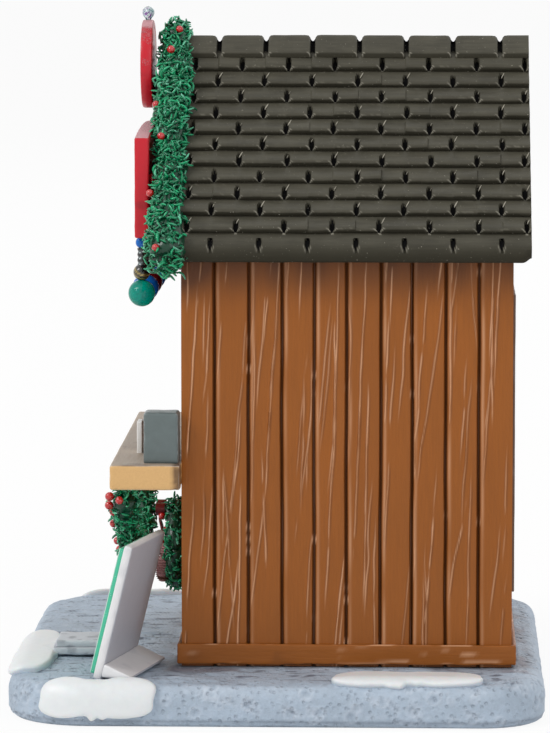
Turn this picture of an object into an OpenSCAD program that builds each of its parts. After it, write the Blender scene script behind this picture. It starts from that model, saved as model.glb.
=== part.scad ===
// Painted miniature market hut on a stone-look plinth, with snow, garlands and signs.
// Millimetres, +Z up. The front with its counter faces -Y. Z = 0 is the underside of the plinth.

/* [Plinth] */
// Plinth width, left to right
plinth_w = 123; // [80:0.5:200]
// Plinth depth, front to back
plinth_d = 114.6; // [80:0.2:200]
// Plinth height
plinth_h = 9.6; // [6:0.2:20]
// Corner radius in plan at the front
plinth_front_r = 20; // [10:0.5:30]
// Corner radius in plan at the back
plinth_back_r = 14; // [10:0.5:30]
// Rounding of the top edge
plinth_top_r = 4; // [1:0.25:4.5]
// Rounding of the bottom edge
plinth_foot_r = 3; // [0.5:0.25:4.5]
// Distance from the middle plane of the hut to the middle of the stone pad
pad_x = 20.5; // [-30:0.1:30]
// Distance from the front edge of the plinth to the middle of the stone pad
pad_in = 14.8; // [11:0.1:20]
// Side of the square stone pad in front of the counter
pad_side = 13; // [6:0.5:20]
// Height of the stone pad
pad_h = 2.9; // [1:0.1:6]
// Height of the snow patches above what they lie on
snow_h = 1.3; // [0.6:0.1:3]

/* [Hut] */
// Hut width over the side walls
hut_w = 81; // [50:0.5:120]
// Hut depth over the front and back walls
hut_d = 70.3; // [40:0.1:90]
// Distance from the back wall to the back edge of the plinth
hut_back_gap = 7.2; // [2:0.1:20]
// Wall thickness
wall_t = 3; // [1.5:0.1:6]
// Height of the sill boards round the foot of the walls
sill_h = 5.4; // [2:0.1:12]
// How far the sill boards stand proud of the walls
sill_t = 1; // [0.4:0.1:3]
// Width of the posts beside the serving opening
post_w = 4.5; // [2:0.25:10]
// Distance from the top of the serving opening up to the height of the eaves
opening_drop = 5; // [1:0.25:30]
// Thickness of the panel on the back wall
back_panel_t = 0.8; // [0.4:0.1:3]
// Width of the panel on the back wall
back_panel_w = 52; // [20:0.5:70]
// Height of the panel on the back wall
back_panel_h = 64.5; // [30:0.5:80]
// Height of the underside of that panel
back_panel_z = 23.5; // [16:0.5:40]

/* [Roof] */
// Height of the upper face of the roof at the eaves
eave_z = 100; // [80:0.5:140]
// Slope of the roof in degrees
roof_slope = 41.4; // [25:0.1:55]
// Thickness of a roof slope, square to its face
roof_t = 3.3; // [1.5:0.1:6]
// Overhang of the eaves past the side walls
eave_over = 6; // [2:0.25:12]
// Overhang of the roof past the front wall
roof_front_over = 2.3; // [1:0.1:8]
// Overhang of the roof past the back wall
roof_back_over = 3.7; // [1:0.1:8]
// Half width of the ridge cap
ridge_half = 5; // [3:0.25:10]
// Height the ridge cap adds above the slopes
ridge_h = 1.5; // [0.8:0.1:4]

/* [Counter] */
// Counter width
counter_w = 95.6; // [84:0.4:122]
// How far the counter reaches out from the front wall
counter_d = 14.4; // [6:0.2:20]
// Counter thickness
counter_t = 4.9; // [2:0.1:8]
// Height of the counter top
counter_top = 53.3; // [40:0.1:70]
// How far the counter runs in behind the front wall
counter_in = 3; // [1:0.25:10]
// Cash box width, left to right
cash_w = 6.3; // [3:0.1:10]
// Cash box depth, front to back
cash_d = 7.4; // [3:0.1:10]
// Cash box height
cash_h = 10.5; // [4:0.1:16]
// Rounding of the upright edges of the cash box
cash_r = 1.2; // [0.3:0.1:2]
// Price card width
card_w = 5.5; // [3:0.1:10]
// Price card height
card_h = 7.1; // [4:0.1:12]
// Price card thickness
card_t = 1.1; // [0.6:0.1:2]

/* [Signs] */
// Radius of the round sign
disc_r = 9.65; // [5:0.05:16]
// Distance from the ridge of the roof down to the middle of the round sign
disc_drop = 4.8; // [-4:0.1:12]
// Thickness of both signs
sign_t = 2.5; // [1:0.1:5]
// Distance from the front wall to the back of the signs
sign_off = 8; // [5:0.1:14]
// Width of the long sign
board_w = 60; // [30:0.5:76]
// Gap between the round sign and the middle of the long sign below it
sign_gap = 2.15; // [0.5:0.05:6]
// Height of the long sign at its ends
board_h = 20.7; // [10:0.1:28]
// Extra height of the long sign at the middle of its arched top
board_rise = 3.5; // [1:0.1:8]

/* [Standing board] */
// Width of the standing board
stand_w = 25.6; // [12:0.2:40]
// Length of the standing board up its slope
stand_l = 29.7; // [15:0.1:34]
// Thickness of its back sheet
stand_back_t = 1.9; // [0.8:0.1:4]
// Thickness of its front sheet
stand_face_t = 1; // [0.5:0.1:3]
// Lean of the standing board in degrees
stand_lean = 14; // [5:0.5:25]
// Turn of the standing board in degrees
stand_turn = 12.8; // [0:0.2:30]
// Depth of its foot behind the sheet
stand_foot_d = 6.6; // [3:0.1:12]
// Distance from the middle plane of the hut to the middle of the standing board
stand_x = 44.3; // [-44:0.1:45]
// Distance from the front wall to the foot of the standing board
stand_off = 15.2; // [13:0.1:18]

/* [Garlands] */
// Radius of the tufts of the two garlands on the gable
rake_r = 4.2; // [2:0.1:6]
// Radius of the tufts of the hanging garland
swag_r = 3.6; // [2:0.1:6]
// Distance from the end of the counter to the end of the hanging garland
swag_in = 8.8; // [4:0.1:20]
// Drop of the hanging garland at its middle
swag_drop = 17.5; // [6:0.5:24]
// Ring radius of the wreath
wreath_ring = 7.4; // [4:0.1:12]
// Tube radius of the wreath
wreath_r = 3.3; // [1.5:0.1:5]
// Height of the middle of the wreath
wreath_z = 30; // [20:0.5:36]
// Spacing of the hanging ornaments
drop_pitch = 13; // [8:0.5:15]
// Radius of the lowest ball of a hanging ornament
drop_ball_r = 2.9; // [1:0.1:4]

/* [Hidden] */
$fn = 48;
eps = 0.2;
far = 300;

hut_x = hut_w / 2;
hut_in = hut_x - wall_t;
back_y = plinth_d / 2 - hut_back_gap;
front_y = back_y - hut_d;

eave_x = hut_x + eave_over;
rise = tan(roof_slope);
roof_v = roof_t / cos(roof_slope);
ridge_z = eave_z + eave_x * rise;
opening_top = eave_z - opening_drop;
roof_y0 = front_y - roof_front_over;
roof_l = hut_d + roof_front_over + roof_back_over;

open_x = hut_in - post_w;
counter_z = counter_top - counter_t;
counter_y = front_y - counter_d;

sign_y = front_y - sign_off - sign_t;
sign_mid_y = sign_y + sign_t / 2;
board_arc = (board_w * board_w / 4 + board_rise * board_rise) / (2 * board_rise);
disc_z = ridge_z - disc_drop;
disc_top = disc_z + disc_r;
board_top = disc_z - disc_r - sign_gap;
board_z = board_top - board_rise - board_h;

disc_bracket_w = 6.4;
disc_bracket_h = 10;
board_bracket_w = 28;
board_bracket_h = 10;
finial_r = 1.35;
finial_h = 3.2;

rake_n = 24;
rake_sides = 12;
rake_waist = rake_r * 0.8;
rake_thin = 0.5;
rake_y = roof_y0 - 0.6;
rake_foot = [eave_x, rake_y, eave_z - roof_v + 1.2];
rake_peak = [0, rake_y, ridge_z + ridge_h + 0.1];

swag_n = 40;
swag_sides = 10;
swag_x = counter_w / 2 - swag_in;
swag_y = counter_y + 2.4;
swag_end_z = counter_z - swag_r + eps;

stand_mid = [stand_x, front_y - stand_off];
stand_face_in = 1.1;
stand_foot_h = 3;
stand_foot_tip = 0.6;

cash_mid_x = counter_w / 2 - cash_w / 2 - 3.2;
cash_back_gap = 0.4;
card_mid_x = 24.75;
card_y = front_y - 10.3;
pad_mid = [pad_x, pad_in - plinth_d / 2];
pad_step = 0.6;
pad_r = 1.5;

// Snow domes: place across, distance in from the front edge of the plinth, reach.
snow_front_spots = [[4, 6.8, 6], [14, 6.5, 6.2], [25, 6.9, 6.4], [35, 8.7, 6.6]];
// Snow domes: distance in from the side of the plinth, distance from the back wall, reach.
snow_side_spots = [[8.9, 32.1, 4.6], [7.9, 25.1, 4.9], [8.7, 18.1, 4.4], [8.1, 11.5, 4.6]];
snow_edge_run = 13;
snow_edge_turn = 40;
snow_edge_span = 23;
snow_edge_shift = 1.2;
snow_end_r = 3.5;

bow_knot_r = 1.3;
bow_loop_r = 1.5;
bow_loop_x = 2.3;
bow_tail = 4.6;
bow_tail_lean = 28;

// Upper face of the roof above a place x.
function roof_top(x) = ridge_z - abs(x) * rise;

// Underside of the roof above a place x.
function roof_under(x) = roof_top(x) - roof_v;

// Middle of the hanging garland at a place x.
function swag_z(x) = swag_end_z - swag_drop * (1 - pow(x / swag_x, 2));

// Radius of the gable garland at each step along it, wide and narrow by turns.
function tuft_r(i) = (i % 2 == 0 ? rake_r : rake_waist) - rake_thin * i / rake_n;

// Place a flat outline drawn in x and z so that it runs back from y0 by a length.
module along_y(y0, length) {
    translate([0, y0 + length, 0])
        rotate([90, 0, 0])
            linear_extrude(length)
                children();
}

// A rectangle with rounded corners about the origin.
module round_rect(w, d, r) {
    square([w - 2 * r, d], center = true);
    square([w, d - 2 * r], center = true);
    for (sx = [-1, 1], sy = [-1, 1])
        translate([sx * (w / 2 - r), sy * (d / 2 - r)])
            circle(r);
}

// Half section of the plinth edge, out to a given reach.
module edge_profile(reach) {
    square([reach - plinth_top_r, plinth_h]);
    translate([0, plinth_foot_r])
        square([reach, plinth_h - plinth_top_r - plinth_foot_r]);
    square([reach - plinth_foot_r, plinth_h - plinth_top_r]);
    translate([reach - plinth_top_r, plinth_h - plinth_top_r])
        circle(plinth_top_r);
    translate([reach - plinth_foot_r, plinth_foot_r])
        circle(plinth_foot_r);
}

module plinth_corner(sx, y, r) {
    translate([sx * (plinth_w / 2 - r), y, 0])
        rotate_extrude()
            edge_profile(r);
}

// Half of the plinth seen in section, swept from one y to another.
module plinth_run_y(y0, y1) {
    along_y(y0, y1 - y0) {
        edge_profile(plinth_w / 2);
        mirror([1, 0])
            edge_profile(plinth_w / 2);
    }
}

// Front or back run of the plinth, swept across between its corners.
module plinth_run_x(half, reach, turn) {
    rotate([0, 0, turn])
        translate([-half, 0, 0])
            rotate([90, 0, 90])
                linear_extrude(2 * half)
                    edge_profile(reach);
}

module plinth_solid() {
    front_c = plinth_front_r - plinth_d / 2;
    back_c = plinth_d / 2 - plinth_back_r;
    plinth_run_y(front_c, back_c);
    plinth_run_x(plinth_w / 2 - plinth_back_r, plinth_d / 2, 0);
    plinth_run_x(plinth_w / 2 - plinth_front_r, plinth_d / 2, 180);
    for (sx = [-1, 1]) {
        plinth_corner(sx, front_c, plinth_front_r);
        plinth_corner(sx, back_c, plinth_back_r);
    }
}

module plinth() {
    color("SlateGray")
        plinth_solid();
}

module stone_pad() {
    color("Gainsboro")
        translate([pad_mid[0], pad_mid[1], plinth_h]) {
            linear_extrude(pad_h / 2)
                round_rect(pad_side, pad_side, pad_r);
            linear_extrude(pad_h)
                round_rect(pad_side - 2 * pad_step, pad_side - 2 * pad_step, pad_r);
        }
}

// A low dome of snow standing on the plinth top.
module snow_dome(x, y, reach, h) {
    dome = (reach * reach + h * h) / (2 * h);
    translate([x, y, plinth_h])
        rotate_extrude()
            intersection() {
                translate([0, h - dome])
                    circle(dome, $fn = 180);
                square([reach + eps, h + eps]);
            }
}

module snow_front() {
    color("Snow")
        difference() {
            union() {
                for (spot = snow_front_spots)
                    snow_dome(spot[0], spot[1] - plinth_d / 2, spot[2], snow_h);
            }
            translate([pad_mid[0], pad_mid[1], plinth_h - eps])
                linear_extrude(pad_h)
                    round_rect(pad_side, pad_side, pad_r);
        }
}

// Section of the snow that lies over a rounded top edge of the plinth.
module snow_crescent(reach) {
    difference() {
        translate([reach - plinth_top_r, plinth_h - plinth_top_r])
            circle(plinth_top_r + snow_h * 0.8);
        edge_profile(reach);
    }
}

// Snow lying over the top edge of the plinth, from its long side round into the front corner.
module snow_over_edge() {
    corner = [plinth_w / 2 - plinth_front_r, plinth_front_r - plinth_d / 2, 0];
    intersection() {
        union() {
            along_y(corner[1], snow_edge_run)
                snow_crescent(plinth_w / 2);
            translate(corner)
                rotate([0, 0, -snow_edge_turn])
                    rotate_extrude(angle = snow_edge_turn)
                        snow_crescent(plinth_front_r);
        }
        translate([corner[0], corner[1] + snow_edge_shift, plinth_h - plinth_top_r])
            rotate([90, 0, 90])
                linear_extrude(plinth_w)
                    round_rect(snow_edge_span, 2 * (plinth_top_r + snow_h), snow_end_r);
    }
}

// A long thin patch of snow beside the sill, along the straight of the plinth's long side.
module snow_by_sill() {
    difference() {
        union() {
            for (spot = snow_side_spots)
                snow_dome(plinth_w / 2 - spot[0], back_y - spot[1], spot[2], snow_h * 0.9);
        }
        translate([0, front_y - sill_t, 0])
            cube([hut_x + sill_t, hut_d + 2 * sill_t, far]);
    }
}

module snow_right_edge() {
    color("Snow")
        difference() {
            snow_over_edge();
            stand_place()
                translate([-stand_w / 2 - eps, -eps, -1])
                    cube([stand_w + 2 * eps, stand_foot_d + stand_back_t + stand_face_t + 0.5, snow_h + 3]);
        }
}

module snow_right_sill() {
    color("Snow")
        snow_by_sill();
}

module snow_left_edge() {
    color("Snow")
        mirror([1, 0, 0])
            snow_over_edge();
}

module snow_left_sill() {
    color("Snow")
        mirror([1, 0, 0])
            snow_by_sill();
}

module side_sill() {
    translate([hut_x, front_y - sill_t, plinth_h])
        cube([sill_t, hut_d + 2 * sill_t, sill_h]);
}

module sill_right() {
    color("Sienna")
        side_sill();
}

module sill_left() {
    color("Sienna")
        mirror([1, 0, 0])
            side_sill();
}

module sill_front() {
    color("Sienna")
        translate([-hut_x, front_y - sill_t, plinth_h])
            cube([hut_w, sill_t, sill_h]);
}

module sill_back() {
    color("Sienna")
        translate([-hut_x, back_y, plinth_h])
            cube([hut_w, sill_t, sill_h]);
}

// Side wall whose top follows the underside of the roof.
module side_wall() {
    along_y(front_y, hut_d)
        polygon([
            [hut_in, plinth_h],
            [hut_x, plinth_h],
            [hut_x, roof_under(hut_x)],
            [hut_in, roof_under(hut_in)]
        ]);
}

module wall_right() {
    color("Peru")
        side_wall();
}

module wall_left() {
    color("Peru")
        mirror([1, 0, 0])
            side_wall();
}

module wall_back() {
    color("Peru")
        along_y(back_y - wall_t, wall_t)
            polygon([
                [-hut_in, plinth_h],
                [hut_in, plinth_h],
                [hut_in, roof_under(hut_in)],
                [0, roof_under(0)],
                [-hut_in, roof_under(hut_in)]
            ]);
}

module back_panel() {
    color("RosyBrown")
        translate([-back_panel_w / 2, back_y, back_panel_z])
            cube([back_panel_w, back_panel_t, back_panel_h]);
}

module front_lower_wall() {
    color("Peru")
        translate([-hut_in, front_y, plinth_h])
            cube([2 * hut_in, wall_t, counter_z - plinth_h]);
}

module front_post() {
    translate([open_x, front_y, counter_z])
        cube([post_w, wall_t, opening_top - counter_z]);
}

module front_post_right() {
    color("Peru")
        front_post();
}

module front_post_left() {
    color("Peru")
        mirror([1, 0, 0])
            front_post();
}

module front_gable() {
    color("Peru")
        along_y(front_y, wall_t)
            polygon([
                [-hut_in, opening_top],
                [hut_in, opening_top],
                [hut_in, roof_under(hut_in)],
                [0, roof_under(0)],
                [-hut_in, roof_under(hut_in)]
            ]);
}

module roof_slope_solid() {
    along_y(roof_y0, roof_l)
        polygon([
            [0, roof_under(0)],
            [eave_x, roof_under(eave_x)],
            [eave_x, roof_top(eave_x)],
            [0, roof_top(0)]
        ]);
}

module roof_right() {
    color("DimGray")
        roof_slope_solid();
}

module roof_left() {
    color("DimGray")
        mirror([1, 0, 0])
            roof_slope_solid();
}

module ridge_cap() {
    color("DimGray")
        along_y(roof_y0, roof_l)
            polygon([
                [-ridge_half, roof_top(ridge_half)],
                [0, roof_top(0)],
                [ridge_half, roof_top(ridge_half)],
                [ridge_half, roof_top(ridge_half) + ridge_h],
                [0, roof_top(0) + ridge_h],
                [-ridge_half, roof_top(ridge_half) + ridge_h]
            ]);
}

module counter() {
    color("BurlyWood") {
        translate([-counter_w / 2, counter_y, counter_z])
            cube([counter_w, counter_d, counter_t]);
        translate([-open_x, front_y - eps, counter_z])
            cube([2 * open_x, wall_t + counter_in, counter_t]);
    }
}

module cash_box() {
    color("LightSlateGray")
        translate([cash_mid_x, front_y - cash_back_gap - cash_d / 2, counter_top])
            linear_extrude(cash_h)
                round_rect(cash_w, cash_d, cash_r);
}

module price_card() {
    color("White")
        translate([card_mid_x - card_w / 2, card_y, counter_top])
            cube([card_w, card_t, card_h]);
}

module name_board() {
    color("FireBrick")
        along_y(sign_y, sign_t)
            intersection() {
                translate([-board_w / 2, board_z])
                    square([board_w, board_h + board_rise + eps]);
                translate([0, board_top - board_arc])
                    circle(board_arc, $fn = 240);
            }
}

module name_board_bracket() {
    color("Black")
        translate([-board_bracket_w / 2, sign_y + sign_t, board_z + board_h / 2 - board_bracket_h / 2])
            cube([board_bracket_w, sign_off, board_bracket_h]);
}

module round_sign() {
    color("FireBrick")
        translate([0, sign_y + sign_t, disc_z])
            rotate([90, 0, 0])
                cylinder(r = disc_r, h = sign_t, $fn = 96);
}

module round_sign_bracket() {
    color("Black")
        translate([-disc_bracket_w / 2, sign_y + sign_t, roof_under(disc_bracket_w / 2) - disc_bracket_h])
            cube([disc_bracket_w, sign_off, disc_bracket_h]);
}

module sign_finial() {
    color("CadetBlue")
        translate([0, sign_mid_y, disc_top - eps]) {
            translate([0, 0, finial_r])
                sphere(finial_r);
            translate([0, 0, finial_r])
                cylinder(r1 = finial_r * 0.8, r2 = finial_r * 0.3, h = finial_h - finial_r);
        }
}

// Garland up one side of the gable, a row of faceted tufts fitted to the edge of the roof.
module rake_garland() {
    run = rake_peak - rake_foot;
    reach = norm(run);
    difference() {
        translate(rake_foot)
            rotate([0, atan2(run[0], run[2]), 0])
                rotate_extrude($fn = rake_sides)
                    polygon(concat(
                        [[0, -rake_r], [rake_r * 0.7, -rake_r * 0.7]],
                        [for (i = [0 : rake_n]) [tuft_r(i), reach * i / rake_n]],
                        [[0, reach + rake_waist]]
                    ));
        along_y(roof_y0, roof_l)
            polygon([
                [-far, counter_top],
                [eave_x, counter_top],
                [eave_x, roof_top(eave_x)],
                [ridge_half, roof_top(ridge_half)],
                [ridge_half, roof_top(ridge_half) + ridge_h],
                [0, roof_top(0) + ridge_h],
                [-far, roof_top(0) + ridge_h]
            ]);
        translate([-far, -far / 2, 0])
            cube([far, far, far]);
    }
}

module garland_right() {
    color("ForestGreen")
        rake_garland();
}

module garland_left() {
    color("ForestGreen")
        mirror([1, 0, 0])
            rake_garland();
}

// Hanging garland below the counter, a faceted tube with tufts, swept along its curve.
module counter_garland() {
    last = swag_n * swag_sides;
    color("ForestGreen")
        polyhedron(
            points = [
                for (i = [0 : swag_n], k = [0 : swag_sides - 1])
                    let (
                        x = swag_x * (2 * i / swag_n - 1),
                        r = swag_r * (i % 2 == 0 ? 1 : 0.8),
                        turn = 360 * (k + 0.5) / swag_sides
                    )
                    [x, swag_y + r * cos(turn), swag_z(x) + r * sin(turn)]
            ],
            faces = concat(
                [[for (k = [0 : swag_sides - 1]) swag_sides - 1 - k]],
                [[for (k = [0 : swag_sides - 1]) last + k]],
                [
                    for (i = [0 : swag_n - 1], k = [0 : swag_sides - 1])
                        let (a = i * swag_sides, next = (k + 1) % swag_sides)
                        [a + k, a + next, a + swag_sides + next, a + swag_sides + k]
                ]
            )
        );
}

module wreath() {
    color("DarkGreen")
        translate([0, front_y - wreath_r + eps, wreath_z])
            rotate([90, 0, 0])
                rotate_extrude()
                    translate([wreath_ring, 0])
                        circle(wreath_r);
}

module wreath_bow() {
    color("DarkRed")
        translate([0, front_y - 2 * wreath_r + eps, wreath_z + wreath_ring]) {
            sphere(bow_knot_r);
            for (sx = [-1, 1]) {
                translate([sx * bow_loop_x, 0, 0.4])
                    sphere(bow_loop_r);
                translate([0, 0, -0.4])
                    rotate([0, 180 - sx * bow_tail_lean, 0])
                        cylinder(r1 = 0.6, r2 = 1, h = bow_tail);
            }
        }
}

// Hanging ornament: a small bulb, a striped neck, a ball and a larger glass ball.
module ornament(x) {
    neck_r = 0.95;
    bulb_r = 1.3;
    mid_r = 1.8;
    bulb_z = board_z - bulb_r + eps / 2;
    mid_z = board_z - 7.6;
    ball_z = mid_z - mid_r - drop_ball_r + eps;
    color("SeaGreen")
        translate([x, sign_mid_y, 0]) {
            translate([0, 0, bulb_z])
                sphere(bulb_r);
            translate([0, 0, mid_z])
                cylinder(r = neck_r, h = bulb_z - mid_z);
            translate([0, 0, mid_z])
                sphere(mid_r);
            translate([0, 0, ball_z])
                sphere(drop_ball_r);
        }
}

module ornament_outer_right() {
    ornament(2 * drop_pitch);
}

module ornament_inner_right() {
    ornament(drop_pitch);
}

module ornament_middle() {
    ornament(0);
}

module ornament_inner_left() {
    ornament(-drop_pitch);
}

module ornament_outer_left() {
    ornament(-2 * drop_pitch);
}

// Put something in the frame of the standing board, level with the plinth top.
module stand_place() {
    translate([stand_mid[0], stand_mid[1], plinth_h])
        rotate([0, 0, -stand_turn])
            children();
}

// A leaning sheet from one depth to another, cut level at its foot.
module stand_sheet(y0, t, inset) {
    stand_place()
        intersection() {
            rotate([-stand_lean, 0, 0])
                translate([-stand_w / 2 + inset, y0, inset - 2])
                    cube([stand_w - 2 * inset, t, stand_l - 2 * inset + 2]);
            translate([-stand_w, -stand_w, 0])
                cube([2 * stand_w, 2 * stand_w, far]);
        }
}

module stand_back() {
    color("WhiteSmoke")
        stand_sheet(stand_face_t, stand_back_t, 0);
}

module stand_face() {
    color("MediumAquamarine")
        stand_sheet(0, stand_face_t, stand_face_in);
}

module stand_foot() {
    back = (stand_face_t + stand_back_t) / cos(stand_lean);
    color("Gray")
        stand_place()
            rotate([90, 0, 90])
                translate([0, 0, -stand_w / 2])
                    linear_extrude(stand_w)
                        polygon([
                            [back, 0],
                            [back + stand_foot_d, 0],
                            [back + stand_foot_d, stand_foot_tip],
                            [back + stand_foot_h * tan(stand_lean), stand_foot_h]
                        ]);
}

plinth();
stone_pad();
snow_front();
snow_right_edge();
snow_right_sill();
snow_left_edge();
snow_left_sill();
sill_right();
sill_left();
sill_front();
sill_back();
wall_right();
wall_left();
wall_back();
back_panel();
front_lower_wall();
front_post_right();
front_post_left();
front_gable();
roof_right();
roof_left();
ridge_cap();
counter();
cash_box();
price_card();
name_board();
name_board_bracket();
round_sign();
round_sign_bracket();
sign_finial();
garland_right();
garland_left();
counter_garland();
wreath();
wreath_bow();
ornament_outer_right();
ornament_inner_right();
ornament_middle();
ornament_inner_left();
ornament_outer_left();
stand_back();
stand_face();
stand_foot();
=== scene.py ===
"""Looks of a painted miniature market hut on a stone-look plinth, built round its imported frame.

Sizes in the code are millimetres; every mesh is made in metres from them. Each piece is made by its own
operator, listed in the panel of the 3D view's sidebar, from the sizes and colours held by the scene.
"""

import math

import bpy
import numpy as np
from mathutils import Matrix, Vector


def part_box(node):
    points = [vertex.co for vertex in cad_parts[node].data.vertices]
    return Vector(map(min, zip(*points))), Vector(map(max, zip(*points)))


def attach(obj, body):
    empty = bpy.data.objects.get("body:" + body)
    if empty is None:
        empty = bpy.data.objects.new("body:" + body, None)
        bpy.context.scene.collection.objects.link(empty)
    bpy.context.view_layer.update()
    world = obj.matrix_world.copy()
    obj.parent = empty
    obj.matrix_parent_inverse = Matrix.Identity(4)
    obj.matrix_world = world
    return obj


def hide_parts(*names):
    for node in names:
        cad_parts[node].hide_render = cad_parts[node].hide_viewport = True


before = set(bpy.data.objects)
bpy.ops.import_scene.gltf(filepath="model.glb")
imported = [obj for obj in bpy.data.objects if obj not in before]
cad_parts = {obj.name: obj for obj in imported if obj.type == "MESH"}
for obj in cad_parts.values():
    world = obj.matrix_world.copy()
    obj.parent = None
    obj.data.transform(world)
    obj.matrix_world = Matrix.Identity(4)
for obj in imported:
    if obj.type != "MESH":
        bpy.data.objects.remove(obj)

bl_info = {
    "name": "Market hut miniature",
    "version": (1, 0, 0),
    "blender": (4, 5, 0),
    "location": "View3D > Sidebar > Hut",
    "description": "Builds a painted miniature market hut piece by piece",
    "category": "Object",
}

MM = 0.001
BARE = (0, 0, 0.5)  # paint of a plain point: no light edge, no wash, the middle shade
CORNER = 0.577  # share along each axis of the direction out of a block's corner


# ---------------------------------------------------------------- numbers

def unit(v):
    """Vectors scaled to a length of one."""
    return v / np.maximum(np.linalg.norm(v, axis=-1, keepdims=True), 1e-9)


def smooth(value, low, high):
    """0 below low, 1 above high and an even rise between them."""
    t = np.clip((np.asarray(value, float) - low) / (high - low), 0, 1)
    return t * t * (3 - 2 * t)


def hump(distance, width):
    """A soft bump of height one at distance zero."""
    return np.exp(-((np.asarray(distance, float) / width) ** 2))


def lattice(cell, seed):
    """A repeatable number from 0 to 1 for each whole-number cell."""
    x, y, z = (cell[..., k].astype(np.int64) for k in range(3))
    h = (x * 374761393 + y * 668265263 + z * 915488749 + seed * 1274126177) & 0xFFFFFFFF
    h = ((h ^ (h >> 13)) * 1274126177) & 0xFFFFFFFF
    return ((h ^ (h >> 16)) & 0xFFFF) / 65535.0


def noise(points, size, seed=0, octaves=1):
    """Smooth noise from -1 to 1 whose lumps are about size across. Size may be three numbers."""
    p = np.asarray(points, float) / np.asarray(size, float)
    total, strength, reach = 0.0, 1.0, 0.0
    for octave in range(octaves):
        cell = np.floor(p)
        f = p - cell
        f = f * f * (3 - 2 * f)
        value = 0.0
        for corner in np.ndindex(2, 2, 2):
            corner = np.array(corner)
            weight = np.prod(np.where(corner, f, 1 - f), axis=-1)
            value = value + weight * lattice(cell + corner, seed + 31 * octave)
        total = total + strength * (2 * value - 1)
        reach += strength
        strength *= 0.5
        p = p * 2.03 + 7.7
    return total / reach


def along(value, size, seed, octaves=1):
    """Smooth noise along one measure."""
    value = np.asarray(value, float)
    return noise(np.stack([value, value * 0, value * 0], -1), size, seed, octaves)


def steps(start, end, pitch):
    """Even steps from start to end, about pitch apart."""
    return np.linspace(start, end, max(2, int(round(abs(end - start) / pitch)) + 1))


def box(node):
    """Lowest and highest corner of a frame node, in millimetres."""
    low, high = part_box(node)
    return np.array(low) / MM, np.array(high) / MM


# ---------------------------------------------------------------- meshes

class Shape:
    """A mesh gathered from sheets of quads, bands and single faces, each point carrying its paint: how much
    light colour (worn edges, grain and painted highlights), how much dark colour (wash, dark joints and
    painted shade) and which shade of the base colour it has."""

    def __init__(self):
        self.points, self.paint, self.faces = [], [], []
        self.count = 0
        self.closed = 0

    def add(self, points, paint=BARE):
        """Adds points and gives their numbers, in the same arrangement."""
        points = np.asarray(points, float)
        number = np.arange(self.count, self.count + points[..., 0].size).reshape(points.shape[:-1])
        self.points.append(points.reshape(-1, 3))
        self.paint.append(np.broadcast_to(np.asarray(paint, float), points.shape).reshape(-1, 3))
        self.count += number.size
        return number

    def quads(self, number, wrap_columns=False):
        """Faces over a grid of point numbers."""
        if wrap_columns:
            number = np.concatenate([number, number[:, :1]], 1)
        a, b, c, d = number[:-1, :-1], number[:-1, 1:], number[1:, 1:], number[1:, :-1]
        self.faces.append(np.stack([a, b, c, d], -1).reshape(-1, 4))

    def fans(self, number, tips):
        """Closes both ends of a tube of point numbers with faces that meet at a tip."""
        for tip, row in zip(tips, (number[0][::-1], number[-1])):
            self.faces.append(np.stack([row, np.roll(row, -1), np.full(len(row), tip)], -1))

    def sheet(self, points, paint=BARE, wrap_columns=False):
        """Adds a grid of points with faces over it and gives their numbers."""
        number = self.add(points, paint)
        self.quads(number, wrap_columns)
        return number

    def face(self, *loops):
        """One face round the given rows of point numbers."""
        self.faces.append(np.concatenate(loops).reshape(1, -1))

    def close(self):
        """Turns the shell made since the last call so that it faces outward."""
        points = np.concatenate(self.points)
        volume = 0.0
        for face in self.faces[self.closed:]:
            corner = points[face]
            for k in range(1, face.shape[1] - 1):
                volume += np.einsum("ij,ij->", corner[:, 0], np.cross(corner[:, k], corner[:, k + 1]))
        if volume < 0:
            self.faces[self.closed:] = [face[:, ::-1] for face in self.faces[self.closed:]]
        self.closed = len(self.faces)
        return self

    def sweep(self, rings, paint=BARE):
        """A closed solid through rings of points, all with as many points each."""
        number = self.add(rings, paint)
        self.quads(number, wrap_columns=True)
        self.face(number[0][::-1])
        self.face(number[-1])
        return self.close()

    def make(self, name, finish, slot, *nodes, sharp=40):
        """Makes the object, rides it on the frame and lets it stand for the given nodes."""
        mesh = bpy.data.meshes.new(name)
        points = np.concatenate(self.points) * MM
        sizes = np.concatenate([np.full(len(face), face.shape[1]) for face in self.faces])
        corners = np.concatenate([face.reshape(-1) for face in self.faces])
        mesh.vertices.add(len(points))
        mesh.vertices.foreach_set("co", points.astype(np.float32).reshape(-1))
        mesh.loops.add(len(corners))
        mesh.loops.foreach_set("vertex_index", corners.astype(np.int32))
        mesh.polygons.add(len(sizes))
        mesh.polygons.foreach_set("loop_start", (np.cumsum(sizes) - sizes).astype(np.int32))
        mesh.polygons.foreach_set("use_smooth", np.ones(len(sizes), bool))
        paint = mesh.attributes.new("paint", "FLOAT_COLOR", "POINT")
        rgba = np.ones((len(points), 4), np.float32)
        rgba[:, :3] = np.clip(np.concatenate(self.paint), 0, 1)
        paint.data.foreach_set("color", rgba.reshape(-1))
        mesh.update(calc_edges=True)
        if mesh.validate():
            raise RuntimeError(name + " has faces that can't be used")
        mesh.set_sharp_from_angle(angle=math.radians(sharp))
        mesh.materials.append(finish)
        piece = bpy.data.objects.new(name, mesh)
        bpy.context.scene.collection.objects.link(piece)
        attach(piece, "root")
        if nodes:
            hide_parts(*nodes)
        return piece


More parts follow.
